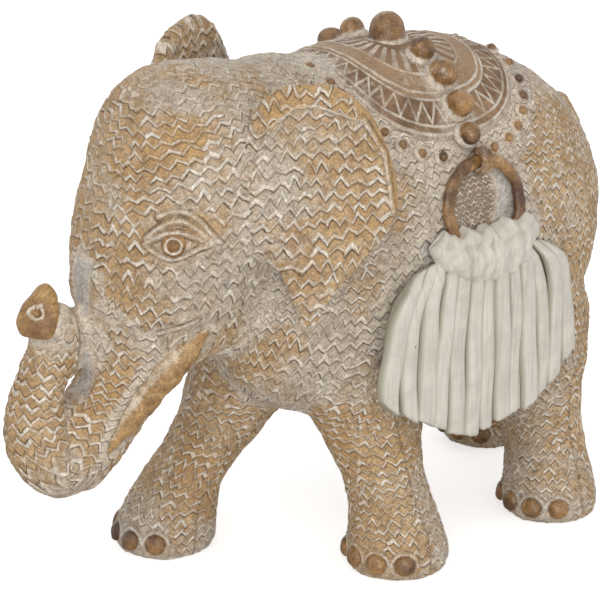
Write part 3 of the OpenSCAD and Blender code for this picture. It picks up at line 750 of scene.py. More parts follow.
def srgb(red, green, blue):
    shares = [v / 255 for v in (red, green, blue)]
    return tuple(v / 12.92 if v < 0.0404 else ((v + 0.055) / 1.055) ** 2.4 for v in shares) + (1.0,)


def new_material(name):
    material = bpy.data.materials.new(name)
    material.use_nodes = True
    tree = material.node_tree
    return material, tree, tree.nodes["Principled BSDF"]


# %% Group: distance to the nearest zigzag line
g, given, result = group(
    "zigzag rows", {"Rows": "Vector", "Row": "Float", "Period": "Float", "Swing": "Float"},
    {"Below": "Float", "Tooth": "Float"},
)
zigzag_group = g
split = put(g, "ShaderNodeSeparateXYZ", {0: given["Rows"]}).outputs
first = sums(g, "FLOOR", sums(g, "DIVIDE", split[1], given["Row"]))
swing = sums(g, "MULTIPLY", given["Swing"], split[2])
near, fresh = [], []
along = sums(g, "DIVIDE", split[0], given["Period"])
for step in (0.0, 1.0):
    k = sums(g, "ADD", first, step)
    sway = sums(g, "MULTIPLY", sums(g, "SINE", sums(g, "MULTIPLY", k, 2.4)), 0.13)
    wander = sums(g, "SINE", sums(g, "MULTIPLY_ADD", along, 0.8, sums(g, "MULTIPLY", k, 1.7)))
    turn = sums(g, "ADD", along, sums(g, "MULTIPLY_ADD", wander, 0.25, sway))
    cell = sums(g, "MULTIPLY_ADD", sums(g, "FLOOR", turn), 1.9, sums(g, "MULTIPLY", k, 2.7))
    deep = sums(g, "MULTIPLY_ADD", sums(g, "SINE", cell), 0.5, 2.0)
    slope = sums(g, "ABSOLUTE", sums(g, "MULTIPLY_ADD", sums(g, "FRACT", turn), 2.0, -1.0))
    tooth = sums(g, "SUBTRACT", 1.0, sums(g, "MULTIPLY", deep, sums(g, "SUBTRACT", 1.0, slope)))
    line = sums(g, "MULTIPLY_ADD", tooth, swing, sums(g, "MULTIPLY", k, given["Row"]))
    near.append(sums(g, "SUBTRACT", split[1], line))
    chance = sums(g, "MULTIPLY_ADD", sums(g, "FLOOR", turn), 3.3, sums(g, "MULTIPLY", k, 5.1))
    fresh.append(sums(g, "MULTIPLY_ADD", sums(g, "SINE", chance), 0.5, 0.5))
other = sums(g, "LESS_THAN", sums(g, "ABSOLUTE", near[1]), sums(g, "ABSOLUTE", near[0]))
chosen = sums(g, "MULTIPLY_ADD", other, sums(g, "SUBTRACT", near[1], near[0]), near[0])
g.links.new(sums(g, "MULTIPLY", chosen, 0.72), result["Below"])
tooth = sums(g, "MULTIPLY_ADD", other, sums(g, "SUBTRACT", fresh[1], fresh[0]), fresh[0])
g.links.new(tooth, result["Tooth"])
print(g.name, "group:", len(g.nodes), "nodes")

# %% Group: stained wood
g, given, result = group(
    "stained wood", {"Light": "Color", "Dark": "Color", "Fleck": "Color"},
    {"Color": "Color", "Grain": "Float", "Pores": "Float"},
)
wood_group = g
place = put(g, "ShaderNodeTexCoord").outputs["Object"]
cloud = noise(g, place, 85.0, 6.0, 0.68)
speck = noise(g, place, 900.0, 4.0, 0.75)
dust = noise(g, place, 2600.0, 2.0, 0.6)
fibre = stretched(g, place, (140.0, 900.0, 900.0))
pores = put(g, "ShaderNodeTexVoronoi", {"Vector": place, "Scale": 125.0, "Randomness": 1.0})
lucky = put(g, "ShaderNodeSeparateColor", {0: pores.outputs["Color"]}).outputs[0]
small = ramp(g, pores.outputs["Distance"], 0.035, 0.075, 1.0, 0.0)
hole = sums(g, "MULTIPLY", small, sums(g, "GREATER_THAN", lucky, 0.87))
tone = mixed(g, ramp(g, cloud, 0.36, 0.64), given["Light"], given["Dark"])
tone = mixed(g, ramp(g, speck, 0.52, 0.75, 0.0, 0.45), tone, given["Fleck"])
tone = mixed(g, ramp(g, fibre, 0.5, 0.75, 0.0, 0.3), tone, given["Dark"])
tone = mixed(g, ramp(g, dust, 0.5, 0.75, 0.0, 0.3), tone, given["Fleck"])
g.links.new(tone, result["Color"])
g.links.new(sums(g, "ADD", sums(g, "MULTIPLY", speck, 0.5), sums(g, "MULTIPLY", fibre, 0.5)), result["Grain"])
g.links.new(hole, result["Pores"])
print(g.name, "group:", len(g.nodes), "nodes")

# %% Group: white wash that settles in hollows
g, given, result = group(
    "settled wash", {"Color": "Color", "Amount": "Float", "Wash": "Color"}, {"Color": "Color"}
)
wash_group = g
place = put(g, "ShaderNodeTexCoord").outputs["Object"]
patchy = sums(g, "SUBTRACT", sums(g, "ADD", noise(g, place, 160.0, 4.0), noise(g, place, 620.0, 3.0)), 1.0)
amount = ramp(g, sums(g, "MULTIPLY_ADD", patchy, 0.75, given["Amount"]), 0.22, 0.85, 0.0, 0.8)
g.links.new(mixed(g, amount, given["Color"], given["Wash"]), result["Color"])
print(g.name, "group:", len(g.nodes), "nodes")


# %% Placing the groups in a material
def fill(made, **values):
    for key, value in values.items():
        made.inputs[key].default_value = value
    return made


def use_wood(tree, light, dark, fleck):
    return fill(put(tree, "ShaderNodeGroup", node_tree=wood_group), Light=light, Dark=dark, Fleck=fleck)


def read_tone(tree):
    vector = put(tree, "ShaderNodeAttribute", attribute_name="tone").outputs["Vector"]
    return put(tree, "ShaderNodeSeparateXYZ", {0: vector}).outputs


def roughen(tree, bsdf, rough, height, strength, distance):
    bsdf.inputs["Roughness"].default_value = rough
    bump = put(tree, "ShaderNodeBump", {"Height": height, "Strength": strength, "Distance": distance})
    tree.links.new(bump.outputs[0], bsdf.inputs["Normal"])


def gritty(tree, tone, place, depth):
    coarse, fine = noise(tree, place, 620.0, 4.0, 0.8), noise(tree, place, 1900.0, 3.0, 0.8)
    both = sums(tree, "MULTIPLY", sums(tree, "ADD", coarse, fine), 0.5)
    shade = ramp(tree, both, 0.34, 0.66, 1 - depth, 1 + 0.6 * depth)
    return put(tree, "ShaderNodeVectorMath", {0: tone, "Scale": shade}, operation="SCALE").outputs[0]


# %% [markdown]
# ## Limed skin
# The skin is light brown wood. The raised zigzags are rubbed white, with a dark band under each line that is
# painted shadow with some brown stain, and a pale wash lies in the hollows and around the trappings. Where the
# wash is thickest it turns whiter, partly painted light that lifts the shade of deep hollows. All of it follows
# the marks on each vertex, so the colours stay on the carving. Uneven width and strength keep the lines from
# looking printed.

# %% The carved and limed skin
WHITE, GREY_WHITE, INK = srgb(231, 219, 202), srgb(196, 184, 169), srgb(62, 43, 28)
limed, tree, bsdf = new_material("limed_carving")
rows = put(tree, "ShaderNodeAttribute", attribute_name="rows").outputs["Vector"]
cuts = put(tree, "ShaderNodeAttribute", attribute_name="cuts").outputs["Fac"]
tones = read_tone(tree)
lines = fill(put(tree, "ShaderNodeGroup", node_tree=zigzag_group), Row=ROW, Period=PERIOD, Swing=SWING)
tree.links.new(rows, lines.inputs["Rows"])
wood = use_wood(tree, srgb(201, 169, 127), srgb(179, 143, 98), srgb(126, 96, 68))
place = put(tree, "ShaderNodeTexCoord").outputs["Object"]
ragged = sums(tree, "SUBTRACT", noise(tree, place, 520.0, 5.0, 0.7), 0.5)
broad = ramp(tree, noise(tree, place, 150.0, 2.0), 0.32, 0.68, 0.26, 0.5)
worn = ramp(tree, noise(tree, place, 130.0, 5.0, 0.7), 0.34, 0.58, 0.25, 1.0)
fresh = ramp(tree, lines.outputs["Tooth"], 0.0, 0.8, 0.5, 1.0)
worn = sums(tree, "MULTIPLY", worn, fresh)
broad = sums(tree, "MULTIPLY", broad, ramp(tree, lines.outputs["Tooth"], 0.0, 1.0, 0.75, 1.2))
free = sums(tree, "SUBTRACT", 1.0, tones[0])
below = sums(tree, "MULTIPLY_ADD", ragged, 1.1, lines.outputs["Below"])
inside = sums(tree, "DIVIDE", sums(tree, "ABSOLUTE", below), broad)
ridge = sums(tree, "MULTIPLY", ramp(tree, inside, 0.55, 1.3, 1.0, 0.0), free)
lower = sums(tree, "ABSOLUTE", sums(tree, "SUBTRACT", below, 0.55))
# painted shadow: a dark band just under each raised zigzag line, where the ridge shades the skin, with some
# brown stain in the cut
shadow_under_line = sums(tree, "MULTIPLY", ramp(tree, lower, 0.05, 0.2, 1.0, 0.0), free)
single = ramp(tree, sums(tree, "MULTIPLY_ADD", ragged, 0.6, cuts), 0.22, 0.55, 0.95, 0.0)
# painted shade: a dark band beside the single lines where the place is plain, as under the eyelids
beside = ramp(tree, sums(tree, "ABSOLUTE", sums(tree, "SUBTRACT", cuts, 0.85)), 0.1, 0.35, 0.8, 0.0)
ridge = sums(tree, "MAXIMUM", ridge, single)
shadow_under_line = sums(tree, "MAXIMUM", shadow_under_line, sums(tree, "MULTIPLY", beside, tones[0]))
shadow_under_line = sums(tree, "MULTIPLY", shadow_under_line, sums(tree, "SUBTRACT", 1.0, ridge))
rich = sums(tree, "MAXIMUM", tones[2], ramp(tree, noise(tree, place, 55.0, 5.0), 0.46, 0.64, 0.0, 0.9))
tone = mixed(tree, sums(tree, "MULTIPLY", rich, 0.7), wood.outputs["Color"], srgb(188, 147, 90))
brushed = ramp(tree, stretched(tree, place, (420.0, 420.0, 1900.0), rough=0.7), 0.46, 0.68, 0.0, 0.5)
haze = ramp(tree, noise(tree, place, 36.0, 5.0), 0.42, 0.62, 0.0, 0.65)
tone = mixed(tree, sums(tree, "MULTIPLY", brushed, sums(tree, "ADD", 0.35, haze)), tone, srgb(206, 190, 170))
settled = put(tree, "ShaderNodeGroup", node_tree=wash_group)
tree.links.new(tone, settled.inputs["Color"])
tree.links.new(sums(tree, "ADD", tones[1], haze), settled.inputs["Amount"])
# where the wash is thick it turns whiter: partly real lime, partly painted light that lifts the shade of deep
# hollows
whiter_wash_and_lift = ramp(tree, tones[1], 0.3, 0.9, 0.0, 0.6)
tree.links.new(mixed(tree, whiter_wash_and_lift, GREY_WHITE, WHITE), settled.inputs["Wash"])
shade = sums(tree, "MULTIPLY", shadow_under_line, ramp(tree, worn, 0.15, 0.9, 0.4, 0.95))
scribble = ramp(tree, tones[1], -0.5, -0.1, 0.62, 0.0)
base = mixed(tree, scribble, settled.outputs["Color"], srgb(130, 120, 113))
cold = mixed(tree, ramp(tree, tones[1], 1.0, 1.09, 0.0, 0.6), base, srgb(186, 183, 180))
# srgb(86, 60, 37) is the painted shadow colour under the raised lines
tone = mixed(tree, shade, cold, srgb(86, 60, 37))
tone = mixed(tree, sums(tree, "MULTIPLY", ridge, worn), tone, WHITE)
tone = mixed(tree, wood.outputs["Pores"], tone, INK)
tree.links.new(gritty(tree, tone, place, 0.5), bsdf.inputs["Base Color"])
height = sums(tree, "ADD", sums(tree, "MULTIPLY", wood.outputs["Grain"], 0.7), ridge)
roughen(tree, bsdf, 0.62, height, 0.75, 0.00045)
for piece in carved.values():
    piece.data.materials.append(limed)
print("limed skin on", len(carved), "pieces")


# %% [markdown]
# ## Stained wood
# Tusks, eyes, nails, rings and beads are smooth, stained and a little glossy. Two stains are enough, a dark
# brown and a honey. Both take their wash from the marks on the piece, so corners stay white.


# %% Two stains, and how a finished piece is handed over
def stained_material(name, light, dark, fleck, rough):
    material, tree, bsdf = new_material(name)
    tones = read_tone(tree)
    wood = use_wood(tree, light, dark, fleck)
    settled = fill(put(tree, "ShaderNodeGroup", node_tree=wash_group), Wash=WHITE)
    tree.links.new(wood.outputs["Color"], settled.inputs["Color"])
    tree.links.new(tones[1], settled.inputs["Amount"])
    place = put(tree, "ShaderNodeTexCoord").outputs["Object"]
    tone = mixed(tree, wood.outputs["Pores"], settled.outputs["Color"], INK)
    tree.links.new(gritty(tree, tone, place, 0.5), bsdf.inputs["Base Color"])
    roughen(tree, bsdf, rough, wood.outputs["Grain"], 0.5, 0.0003)
    return material


brown = stained_material("stained_brown", srgb(176, 134, 84), srgb(86, 58, 36), srgb(54, 37, 24), 0.3)
honey = stained_material("stained_honey", srgb(196, 158, 104), srgb(138, 98, 56), srgb(84, 58, 34), 0.4)


def dress(piece, nodes, material):
    piece.data.materials.clear()
    piece.data.materials.append(material)
    choose(piece)
    bpy.ops.object.shade_smooth()
    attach(piece, "root")
    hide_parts(*nodes)


# %% [markdown]
# ## Tusks, nails and rings
# These are plain rounded pieces, so their blanks are already right. They are swelled a little, remeshed
# finely, smoothed and made slightly lumpy, as hand work is. Wash settles where they meet their neighbours.
# Each tusk is painted paler on the side turned to the key lamp: a painted highlight.

# %% Soften a plain blank, find where the wash settles, and paint a highlight on one side
def softened(node, name, swell, grain, passes, lump, near, reach, haze=0.0, pale=None):
    piece = blank_of(node, name)
    work(piece, "DISPLACE", strength=swell / 1000, mid_level=0.0)
    work(piece, "REMESH", mode="VOXEL", voxel_size=grain / 1000)
    work(piece, "SMOOTH", factor=0.5, iterations=passes)
    places = points_of(piece)
    bumps = lump * waves(places, 6, 1.0) + 0.6 * lump * waves(places, 2.7, 4.0)
    move_points(piece, places + outward(piece) * bumps[:, None])
    wash = np.maximum(haze, 1.1 * np.exp(-((away_from(places, near, 2.5 * reach) / reach) ** 2)))
    # painted highlight: the side that faces the given direction is washed paler, as if lit
    if pale is not None:
        wash = np.maximum(wash, 0.6 * np.clip((outward(piece) @ pale - 0.6) / 0.35, 0, 1))
    mark(piece, "tone", np.stack([0 * wash, wash, 0 * wash], 1))
    return piece


def flatten(piece, share, sink):
    places = points_of(piece)
    middle = places.mean(0)
    across = np.linalg.svd(places - middle, full_matrices=False)[2][2]
    across *= np.sign(across[1] * middle[1])
    height = (places - middle) @ across
    move_points(piece, places - ((1 - share) * height + sink)[:, None] * across)


# %% Tusks, rings, links and nails
# this direction points towards the key lamp; the tusk side facing it gets a painted highlight
KEY_LIGHT_SIDE = np.array([-0.8, 0.0, 0.6])
for side in ("left", "right"):
    tusk = softened(
        "tusk_" + side, "tusk_shaft_" + side, swell=0.5, grain=0.6, passes=6, lump=0.22,
        near=["head"], reach=1.2, haze=0.12, pale=KEY_LIGHT_SIDE,
    )
    dress(tusk, ["tusk_" + side], honey)
    ring = softened(
        "ring_" + side, "hoop_" + side, swell=0.05, grain=0.5, passes=4, lump=0.16,
        near=["torso"], reach=1.0, haze=0.15,
    )
    flatten(ring, share=0.7, sink=0.35)
    dress(ring, ["ring_" + side], brown)
    link = softened(
        "link_" + side, "tie_" + side, swell=0.05, grain=0.4, passes=3, lump=0.1,
        near=["torso", "ring_" + side], reach=0.6, haze=0.35,
    )
    dress(link, ["link_" + side], brown)
for leg in LEGS:
    node = leg.replace("leg", "nails")
    nails = softened(
        node, node.replace("nails", "toenails"), swell=0.25, grain=0.45, passes=3, lump=0.1,
        near=[leg], reach=0.5,
    )
    dress(nails, [node], brown)
print("plain pieces softened")

# %% [markdown]
# ## Dowels and pegs
# They hold the blanks together and stay hidden, so their solids are right as they are and keep their shape.
# They get the grain of the other wood, bare and pale, because stain and wash never reach them.

# %% Bare wood for the hidden pieces
bare, tree, bsdf = new_material("bare_dowel_wood")
wood = use_wood(tree, srgb(214, 186, 144), srgb(192, 158, 112), srgb(150, 118, 80))
tree.links.new(wood.outputs["Color"], bsdf.inputs["Base Color"])
roughen(tree, bsdf, 0.6, wood.outputs["Grain"], 0.4, 0.0003)
for node in ("leg_dowels", "neck_dowel", "trunk_dowel", "ear_pegs", "tail_peg"):
    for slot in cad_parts[node].material_slots:
        slot.material = bare
    print(node, "slots:", len(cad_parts[node].material_slots))

# %% [markdown]
# ## Eyes
# Each eye is a small dome inside a white ring. It is drawn as a profile and turned: a disc is extruded
# and scaled step by step, as on a lathe, then set on the cheek along the direction that it looks.


# %% A turned piece, and how it is set in its place
def turned_piece(name, profile, sides):
    first = profile[0][0] / 1000
    bpy.ops.mesh.primitive_circle_add(vertices=sides, radius=first, fill_type="NGON", location=(0, 0, 0))
    piece = bpy.context.object
    piece.name = piece.data.name = name
    bpy.ops.object.mode_set(mode="EDIT")
    bpy.ops.mesh.select_all(action="SELECT")
    bpy.ops.transform.translate(value=(0, 0, profile[0][1] / 1000))
    for (r0, z0), (r, z) in zip(profile, profile[1:]):
        bpy.ops.mesh.extrude_region_move(TRANSFORM_OT_translate={"value": (0, 0, (z - z0) / 1000)})
        bpy.ops.transform.resize(value=(r / r0, r / r0, 1), center_override=(0, 0, 0))
    bpy.ops.mesh.select_all(action="SELECT")
    bpy.ops.mesh.normals_make_consistent(inside=False)
    bpy.ops.object.mode_set(mode="OBJECT")
    return piece


def settle(piece, middle, out, across):
    out, across = out / np.linalg.norm(out), across - out * (across @ out) / (out @ out)
    across = across / np.linalg.norm(across)
    move_points(piece, points_of(piece) @ np.stack([across, np.cross(out, across), out]) + middle)


EYE_PROFILE = [
    (2.9, -1.6), (2.8, 0.0), (2.5, 0.42), (2.2, 0.62), (1.95, 0.66), (1.7, 0.55),
    (1.45, 0.28), (1.3, 0.22), (1.15, 0.34), (0.9, 0.6), (0.55, 0.78), (0.2, 0.84),
]
cheeks = tree_of(carved["head"].data)
for side, name in ((1, "left"), (-1, "right")):
    middle, out, back = eye_frame(side)
    found = cheeks.ray_cast(Vector((middle + 12 * out) / 1000), Vector(-out), 0.02)[0]
    height = (np.array(found) * 1000 - middle) @ out if found else 1.0
    print("skin over the eye's seat:", round(float(height), 2))
    eye = turned_piece("eyeball_" + name, EYE_PROFILE, 48)
    radius = np.hypot(*points_of(eye)[:, :2].T)
    wash = np.where((radius > 1.5) & (radius < 2.15), 0.85, 0.1)
    mark(eye, "tone", np.stack([0 * wash, wash, 0 * wash], 1))
    settle(eye, middle + (height - 0.25) * out, out, back)
    dress(eye, ["eye_" + name], honey)

# %% [markdown]
# ## Tip of the trunk
# The trunk ends in a smooth lip, a rounded triangle with a small nostril in a white ring. A sphere is
# pressed to that outline, dented in the middle and set on the end of the trunk.

# %% Press a sphere to the lip
bpy.ops.mesh.primitive_uv_sphere_add(segments=64, ring_count=40, radius=0.001, location=(0, 0, 0))
lip = bpy.context.object
lip.name = lip.data.name = "trunk_lip"
ball = points_of(lip)
turn = np.arctan2(ball[:, 1], ball[:, 0])
outline = 1 + 0.11 * np.cos(3 * (turn - math.pi / 2)) + 0.03 * np.cos(2 * turn)
flat = np.hypot(ball[:, 0], ball[:, 1])
wide = np.where(ball[:, 2] > 0, np.sqrt(np.clip(flat, 0, 1)) * flat**0.25, flat**0.8)
spread = np.divide(wide, np.maximum(flat, 1e-6)) * outline
front = ball[:, 2] > 0
tall = np.where(front, 1.7, 5.0) * ball[:, 2]
shape = np.stack([ball[:, 0] * spread * 4.8, ball[:, 1] * spread * 6.8, tall], 1)
uneven_ring = 1 + 0.1 * np.sin(3 * turn + 1) + 0.08 * np.sin(5 * turn)
from_nostril = np.hypot(shape[:, 0], shape[:, 1] + 0.4) * uneven_ring
brim = 0.6 * np.exp(-(((from_nostril - 1.75) / 0.5) ** 2))
dent = 1.2 * np.exp(-((from_nostril / 1.1) ** 2))
shape[:, 2] += np.where(front, brim - dent, 0)
wash = np.where(front, 0.95 * np.exp(-(((from_nostril - 1.65) / 0.45) ** 2)), 0)
wash += np.where(ball[:, 2] < -0.75, 0.8, 0)
mark(lip, "tone", np.stack([0 * wash, wash, 0 * wash], 1))
LEAN = 0.26
lean = np.array([[math.cos(LEAN), -math.sin(LEAN), 0], [math.sin(LEAN), math.cos(LEAN), 0], [0, 0, 1]])
move_points(lip, shape @ lean)
LOOK, ASIDE = np.array([-0.64, -0.45, 0.62]), np.array([0.74, -0.66, 0.1])
tip_low, tip_high = box_mm("trunk_tip")
settle(lip, (tip_low + tip_high) / 2, LOOK, ASIDE)
places = points_of(lip)
move_points(lip, places + outward(lip) * (0.2 * waves(places, 5, 3.0))[:, None])
dress(lip, ["trunk_tip"], honey)
print("lip faces:", len(lip.data.polygons))

# %% [markdown]
# ## Saddle cloth
# The cloth lies over the back, with borders cut in rings: short strokes near the middle, a plain band and
# a row of teeth near the edge. Each vertex gets its place on the flat cloth, from the middle to the edge.

# %% Rings and teeth on the cloth
cloth = blank_of("saddle_cloth", "cloth_cover")
work(cloth, "REMESH", mode="VOXEL", voxel_size=0.0005)
work(cloth, "SMOOTH", factor=0.5, iterations=3)
low, high = box_mm("saddle_cloth")
CLOTH_X, CLOTH_REACH = (low[0] + high[0]) / 2, (high[0] - low[0]) / 2
places = points_of(cloth)
TORSO_WAIST, TORSO_RISE, TORSO_HALF, TORSO_REACH = 76.71, 47.79, 34, 58
tall = np.abs(places[:, 1]) / TORSO_HALF, np.clip(places[:, 2] - TORSO_WAIST, 0.1, None) / TORSO_RISE
over = np.sign(places[:, 1]) * np.degrees(np.arctan2(tall[0] ** 1.1, tall[1] ** 1.1))
edge_turn = np.percentile(np.abs(over), 99.9)
spot = np.stack([(places[:, 0] - CLOTH_X) / CLOTH_REACH, over / edge_turn, 0 * over], 1)
STROKES, TEETH, POWER = 30, 44, 2.667
RINGS = (0.505, 0.67, 0.715, 0.9, 0.955)


def cloth_lines(spot):
    share = (np.abs(spot[:, 0]) ** POWER + np.abs(spot[:, 1]) ** POWER) ** (1 / POWER)
    turn = np.arctan2(1.24 * spot[:, 1], spot[:, 0]) / (2 * np.pi)
    lines = np.zeros(len(spot))
    for at in RINGS:
        lines = np.maximum(lines, np.exp(-(((share - at) / 0.012) ** 2)))
    stroke = np.abs((turn * STROKES) % 1 - 0.5) * 2
    lines = np.maximum(lines, np.clip((0.6 - stroke) / 0.2, 0, 1) * ((share > 0.25) & (share < 0.49)))
    tooth = np.abs(2 * np.abs((turn * TEETH) % 1 - 0.5) - (share - 0.735) / 0.145) * 0.145 * 33 * 0.42
    return np.maximum(lines, np.exp(-((tooth / 0.36) ** 2)) * ((share > 0.73) & (share < 0.89)))


carved_cloth = cloth_lines(spot)
share = (np.abs(spot[:, 0]) ** POWER + np.abs(spot[:, 1]) ** POWER) ** (1 / POWER)
sink = 1.1 * np.clip((share - 0.9) / 0.1, 0, 1) + 1.3 * np.clip((-0.5 - spot[:, 0]) / 0.5, 0, 1)
rise = (places[:, 2] - TORSO_WAIST) / TORSO_RISE**2
over_back = np.stack([0 * over, places[:, 1] / TORSO_HALF**2, rise], 1)
over_back /= np.linalg.norm(over_back, axis=1)[:, None]
relief = 0.3 * carved_cloth + 0.1 * waves(places, 9, 2.0)
places = places + outward(cloth) * relief[:, None] - over_back * sink[:, None]
move_points(cloth, places)
mark(cloth, "spot", spot)
wash = np.exp(-((away_from(places, ["beads_left", "beads_right", "crown_bead"], 5.0) / 1.8) ** 2))
wash = np.maximum(wash, 0.75 * np.clip((share - 0.94) / 0.05, 0, 1))
wash = np.maximum(wash, 0.55 * np.clip((-0.55 - spot[:, 0]) / 0.3, 0, 1))
band = ((share > 0.5) & (share < 0.71)).astype(float)
mark(cloth, "tone", np.stack([0 * wash, wash, band], 1))
print("cloth faces:", len(cloth.data.polygons))

# %% Group: the rings, strokes and teeth as a mask
g, given, result = group("cloth borders", {"Spot": "Vector", "Wobble": "Float"}, {"Lines": "Float"})
cloth_group = g
spots = put(g, "ShaderNodeSeparateXYZ", {0: given["Spot"]}).outputs
powers = [sums(g, "POWER", sums(g, "ABSOLUTE", spots[i]), POWER) for i in (0, 1)]
share = sums(g, "ADD", sums(g, "POWER", sums(g, "ADD", powers[0], powers[1]), 1 / POWER), given["Wobble"])
turn = sums(g, "DIVIDE", sums(g, "ARCTAN2", sums(g, "MULTIPLY", spots[1], 1.24), spots[0]), 2 * math.pi)
mask = 0.0
for at in RINGS:
    off = sums(g, "ABSOLUTE", sums(g, "SUBTRACT", share, at))
    mask = sums(g, "MAXIMUM", mask, ramp(g, off, 0.006, 0.016, 1.0, 0.0))


def between(low, high):
    return sums(g, "MULTIPLY", sums(g, "GREATER_THAN", share, low), sums(g, "LESS_THAN", share, high))


def tent(number):
    part = sums(g, "FRACT", sums(g, "MULTIPLY_ADD", turn, number, 100.0))
    return sums(g, "MULTIPLY", sums(g, "ABSOLUTE", sums(g, "SUBTRACT", part, 0.5)), 2.0)


stroke = sums(g, "MULTIPLY", ramp(g, tent(STROKES), 0.4, 0.6, 1.0, 0.0), between(0.25, 0.49))
up_tooth = sums(g, "DIVIDE", sums(g, "SUBTRACT", share, 0.735), 0.145)
slope = sums(g, "ABSOLUTE", sums(g, "SUBTRACT", tent(TEETH), up_tooth))
tooth = sums(g, "MULTIPLY", ramp(g, sums(g, "MULTIPLY", slope, 2.0), 0.2, 0.5, 1.0, 0.0), between(0.73, 0.89))
g.links.new(sums(g, "MAXIMUM", mask, sums(g, "MAXIMUM", stroke, tooth)), result["Lines"])
print(g.name, "group:", len(g.nodes), "nodes")

# %% Finish of the cloth
woven, tree, bsdf = new_material("limed_cloth")
spots = put(tree, "ShaderNodeAttribute", attribute_name="spot").outputs["Vector"]
tones = read_tone(tree)
place = put(tree, "ShaderNodeTexCoord").outputs["Object"]
borders = put(tree, "ShaderNodeGroup", node_tree=cloth_group)
tree.links.new(spots, borders.inputs["Spot"])
wobble = sums(tree, "MULTIPLY", sums(tree, "SUBTRACT", noise(tree, place, 300.0), 0.5), 0.02)
tree.links.new(wobble, borders.inputs["Wobble"])
wood = use_wood(tree, srgb(156, 124, 92), srgb(116, 86, 60), srgb(76, 55, 37))
settled = fill(put(tree, "ShaderNodeGroup", node_tree=wash_group), Wash=GREY_WHITE)
tan = mixed(tree, sums(tree, "MULTIPLY", tones[2], 0.6), wood.outputs["Color"], srgb(178, 148, 114))
tree.links.new(tan, settled.inputs["Color"])
haze = ramp(tree, noise(tree, place, 60.0, 5.0), 0.42, 0.68, 0.0, 0.45)
tree.links.new(sums(tree, "ADD", tones[1], haze), settled.inputs["Amount"])
worn = ramp(tree, noise(tree, place, 140.0, 5.0, 0.7), 0.36, 0.62, 0.25, 0.8)
tone = mixed(tree, sums(tree, "MULTIPLY", borders.outputs["Lines"], worn), settled.outputs["Color"], WHITE)
tone = mixed(tree, wood.outputs["Pores"], tone, INK)
tree.links.new(gritty(tree, tone, place, 0.35), bsdf.inputs["Base Color"])
height = sums(tree, "ADD", borders.outputs["Lines"], wood.outputs["Grain"])
roughen(tree, bsdf, 0.6, height, 0.6, 0.0003)
dress(cloth, ["saddle_cloth"], woven)

# %% [markdown]
# ## Beads and studs
# One bead is modelled, a ball with a low collar where it sits in the cloth, and copied to every place. The
# size and place of each come from its solid. The collar stays white, the top is rubbed brown.

# %% One bead, copied to each seat
BEAD_PROFILE = [
    (0.9, -1.1), (1.16, -0.75), (1.2, -0.5), (1.12, -0.3), (0.98, -0.2), (0.97, 0.1),
    (0.92, 0.38), (0.8, 0.62), (0.62, 0.8), (0.4, 0.93), (0.15, 0.99),
]
STUD_PROFILE = [
    (1.4, -0.9), (1.5, -0.5), (1.42, -0.22), (1.2, -0.1), (0.92, -0.16), (0.82, 0.08),
    (0.68, 0.36), (0.42, 0.55), (0.12, 0.62),
]
pattern_bead = turned_piece("bead", BEAD_PROFILE, 28)
pattern_stud = turned_piece("stud", STUD_PROFILE, 24)


def bead_row(node, name, pattern, collar, haze, lift):
    blank = blank_of(node, "count_" + node)
    corners = points_of(blank)
    beads = []
    for number, island in enumerate(islands(blank.data)):
        around = corners[island]
        system = np.c_[2 * around, np.ones(len(around))]
        answer = np.linalg.lstsq(system, (around**2).sum(1), rcond=None)[0]
        middle = answer[:3]
        radius = math.sqrt(answer[3] + middle @ middle)
        bead = bpy.data.objects.new(f"{name}_{number}", pattern.data.copy())
        bpy.context.scene.collection.objects.link(bead)
        local = points_of(bead)
        in_collar = np.clip((collar - local[:, 2]) / 0.25, 0, 1.15)
        wash = np.maximum(haze * (1 + 0.6 * math.sin(3.1 * number)), in_collar)
        mark(bead, "tone", np.stack([0 * wash, wash, 0 * wash], 1))
        move_points(bead, local * radius)
        out = np.array([0.0, middle[1] / TORSO_HALF**2, (middle[2] - TORSO_WAIST) / TORSO_RISE**2])
        spun = np.array([math.cos(2.4 * number), math.sin(2.4 * number), 0.2])
        settle(bead, middle + lift * out / np.linalg.norm(out), out, spun)
        places = points_of(bead)
        wobble = 0.06 * radius * waves(places - middle, 2.4 * radius, number)
        move_points(bead, places + outward(bead) * wobble[:, None])
        beads.append(bead)
    bpy.data.objects.remove(blank)
    choose(*beads)
    bpy.ops.object.join()
    beads[0].name = beads[0].data.name = name
    dress(beads[0], [node], brown)


bead_row("beads_left", "bead_row_left", pattern_bead, collar=-0.02, haze=0.2, lift=0.0)
bead_row("beads_right", "bead_row_right", pattern_bead, collar=-0.02, haze=0.2, lift=0.0)
bead_row("crown_bead", "top_bead", pattern_bead, collar=-0.15, haze=0.05, lift=-0.5)
bead_row("cloth_studs", "edge_studs", pattern_stud, collar=0.02, haze=0.1, lift=1.0)
bpy.data.objects.remove(pattern_bead)
bpy.data.objects.remove(pattern_stud)
print("beads and studs set")

# %% [markdown]
# ## Tassels
# The tassel is a gathered head over broad flat strands that hang down the flank. Each strand is a sphere
# drawn out to a flat tongue, copied and laid side by side. The head is one sphere, pressed to a crescent
# and pulled into folds, because its real folds run into each other.

# %% Where the tassel lies on the flank
MID = -5.5 + SHIFT


def full(share, power):
    return (1 - np.clip(np.abs(share), 0, 0.999) ** power) ** (1 / power)


def on_flank(x, z, lift, side):
    lies = x - SHIFT
    reach = TORSO_HALF * full(0.75 * lies / TORSO_REACH, 2.25)
    rise = TORSO_RISE * (1 - 0.06 * lies / TORSO_REACH) * full(lies / TORSO_REACH, 4.0)
    above = np.clip(z - TORSO_WAIST, 0, None) / rise
    return np.stack([x, -side * (reach * full(above, 2.2) + lift), z], 1)


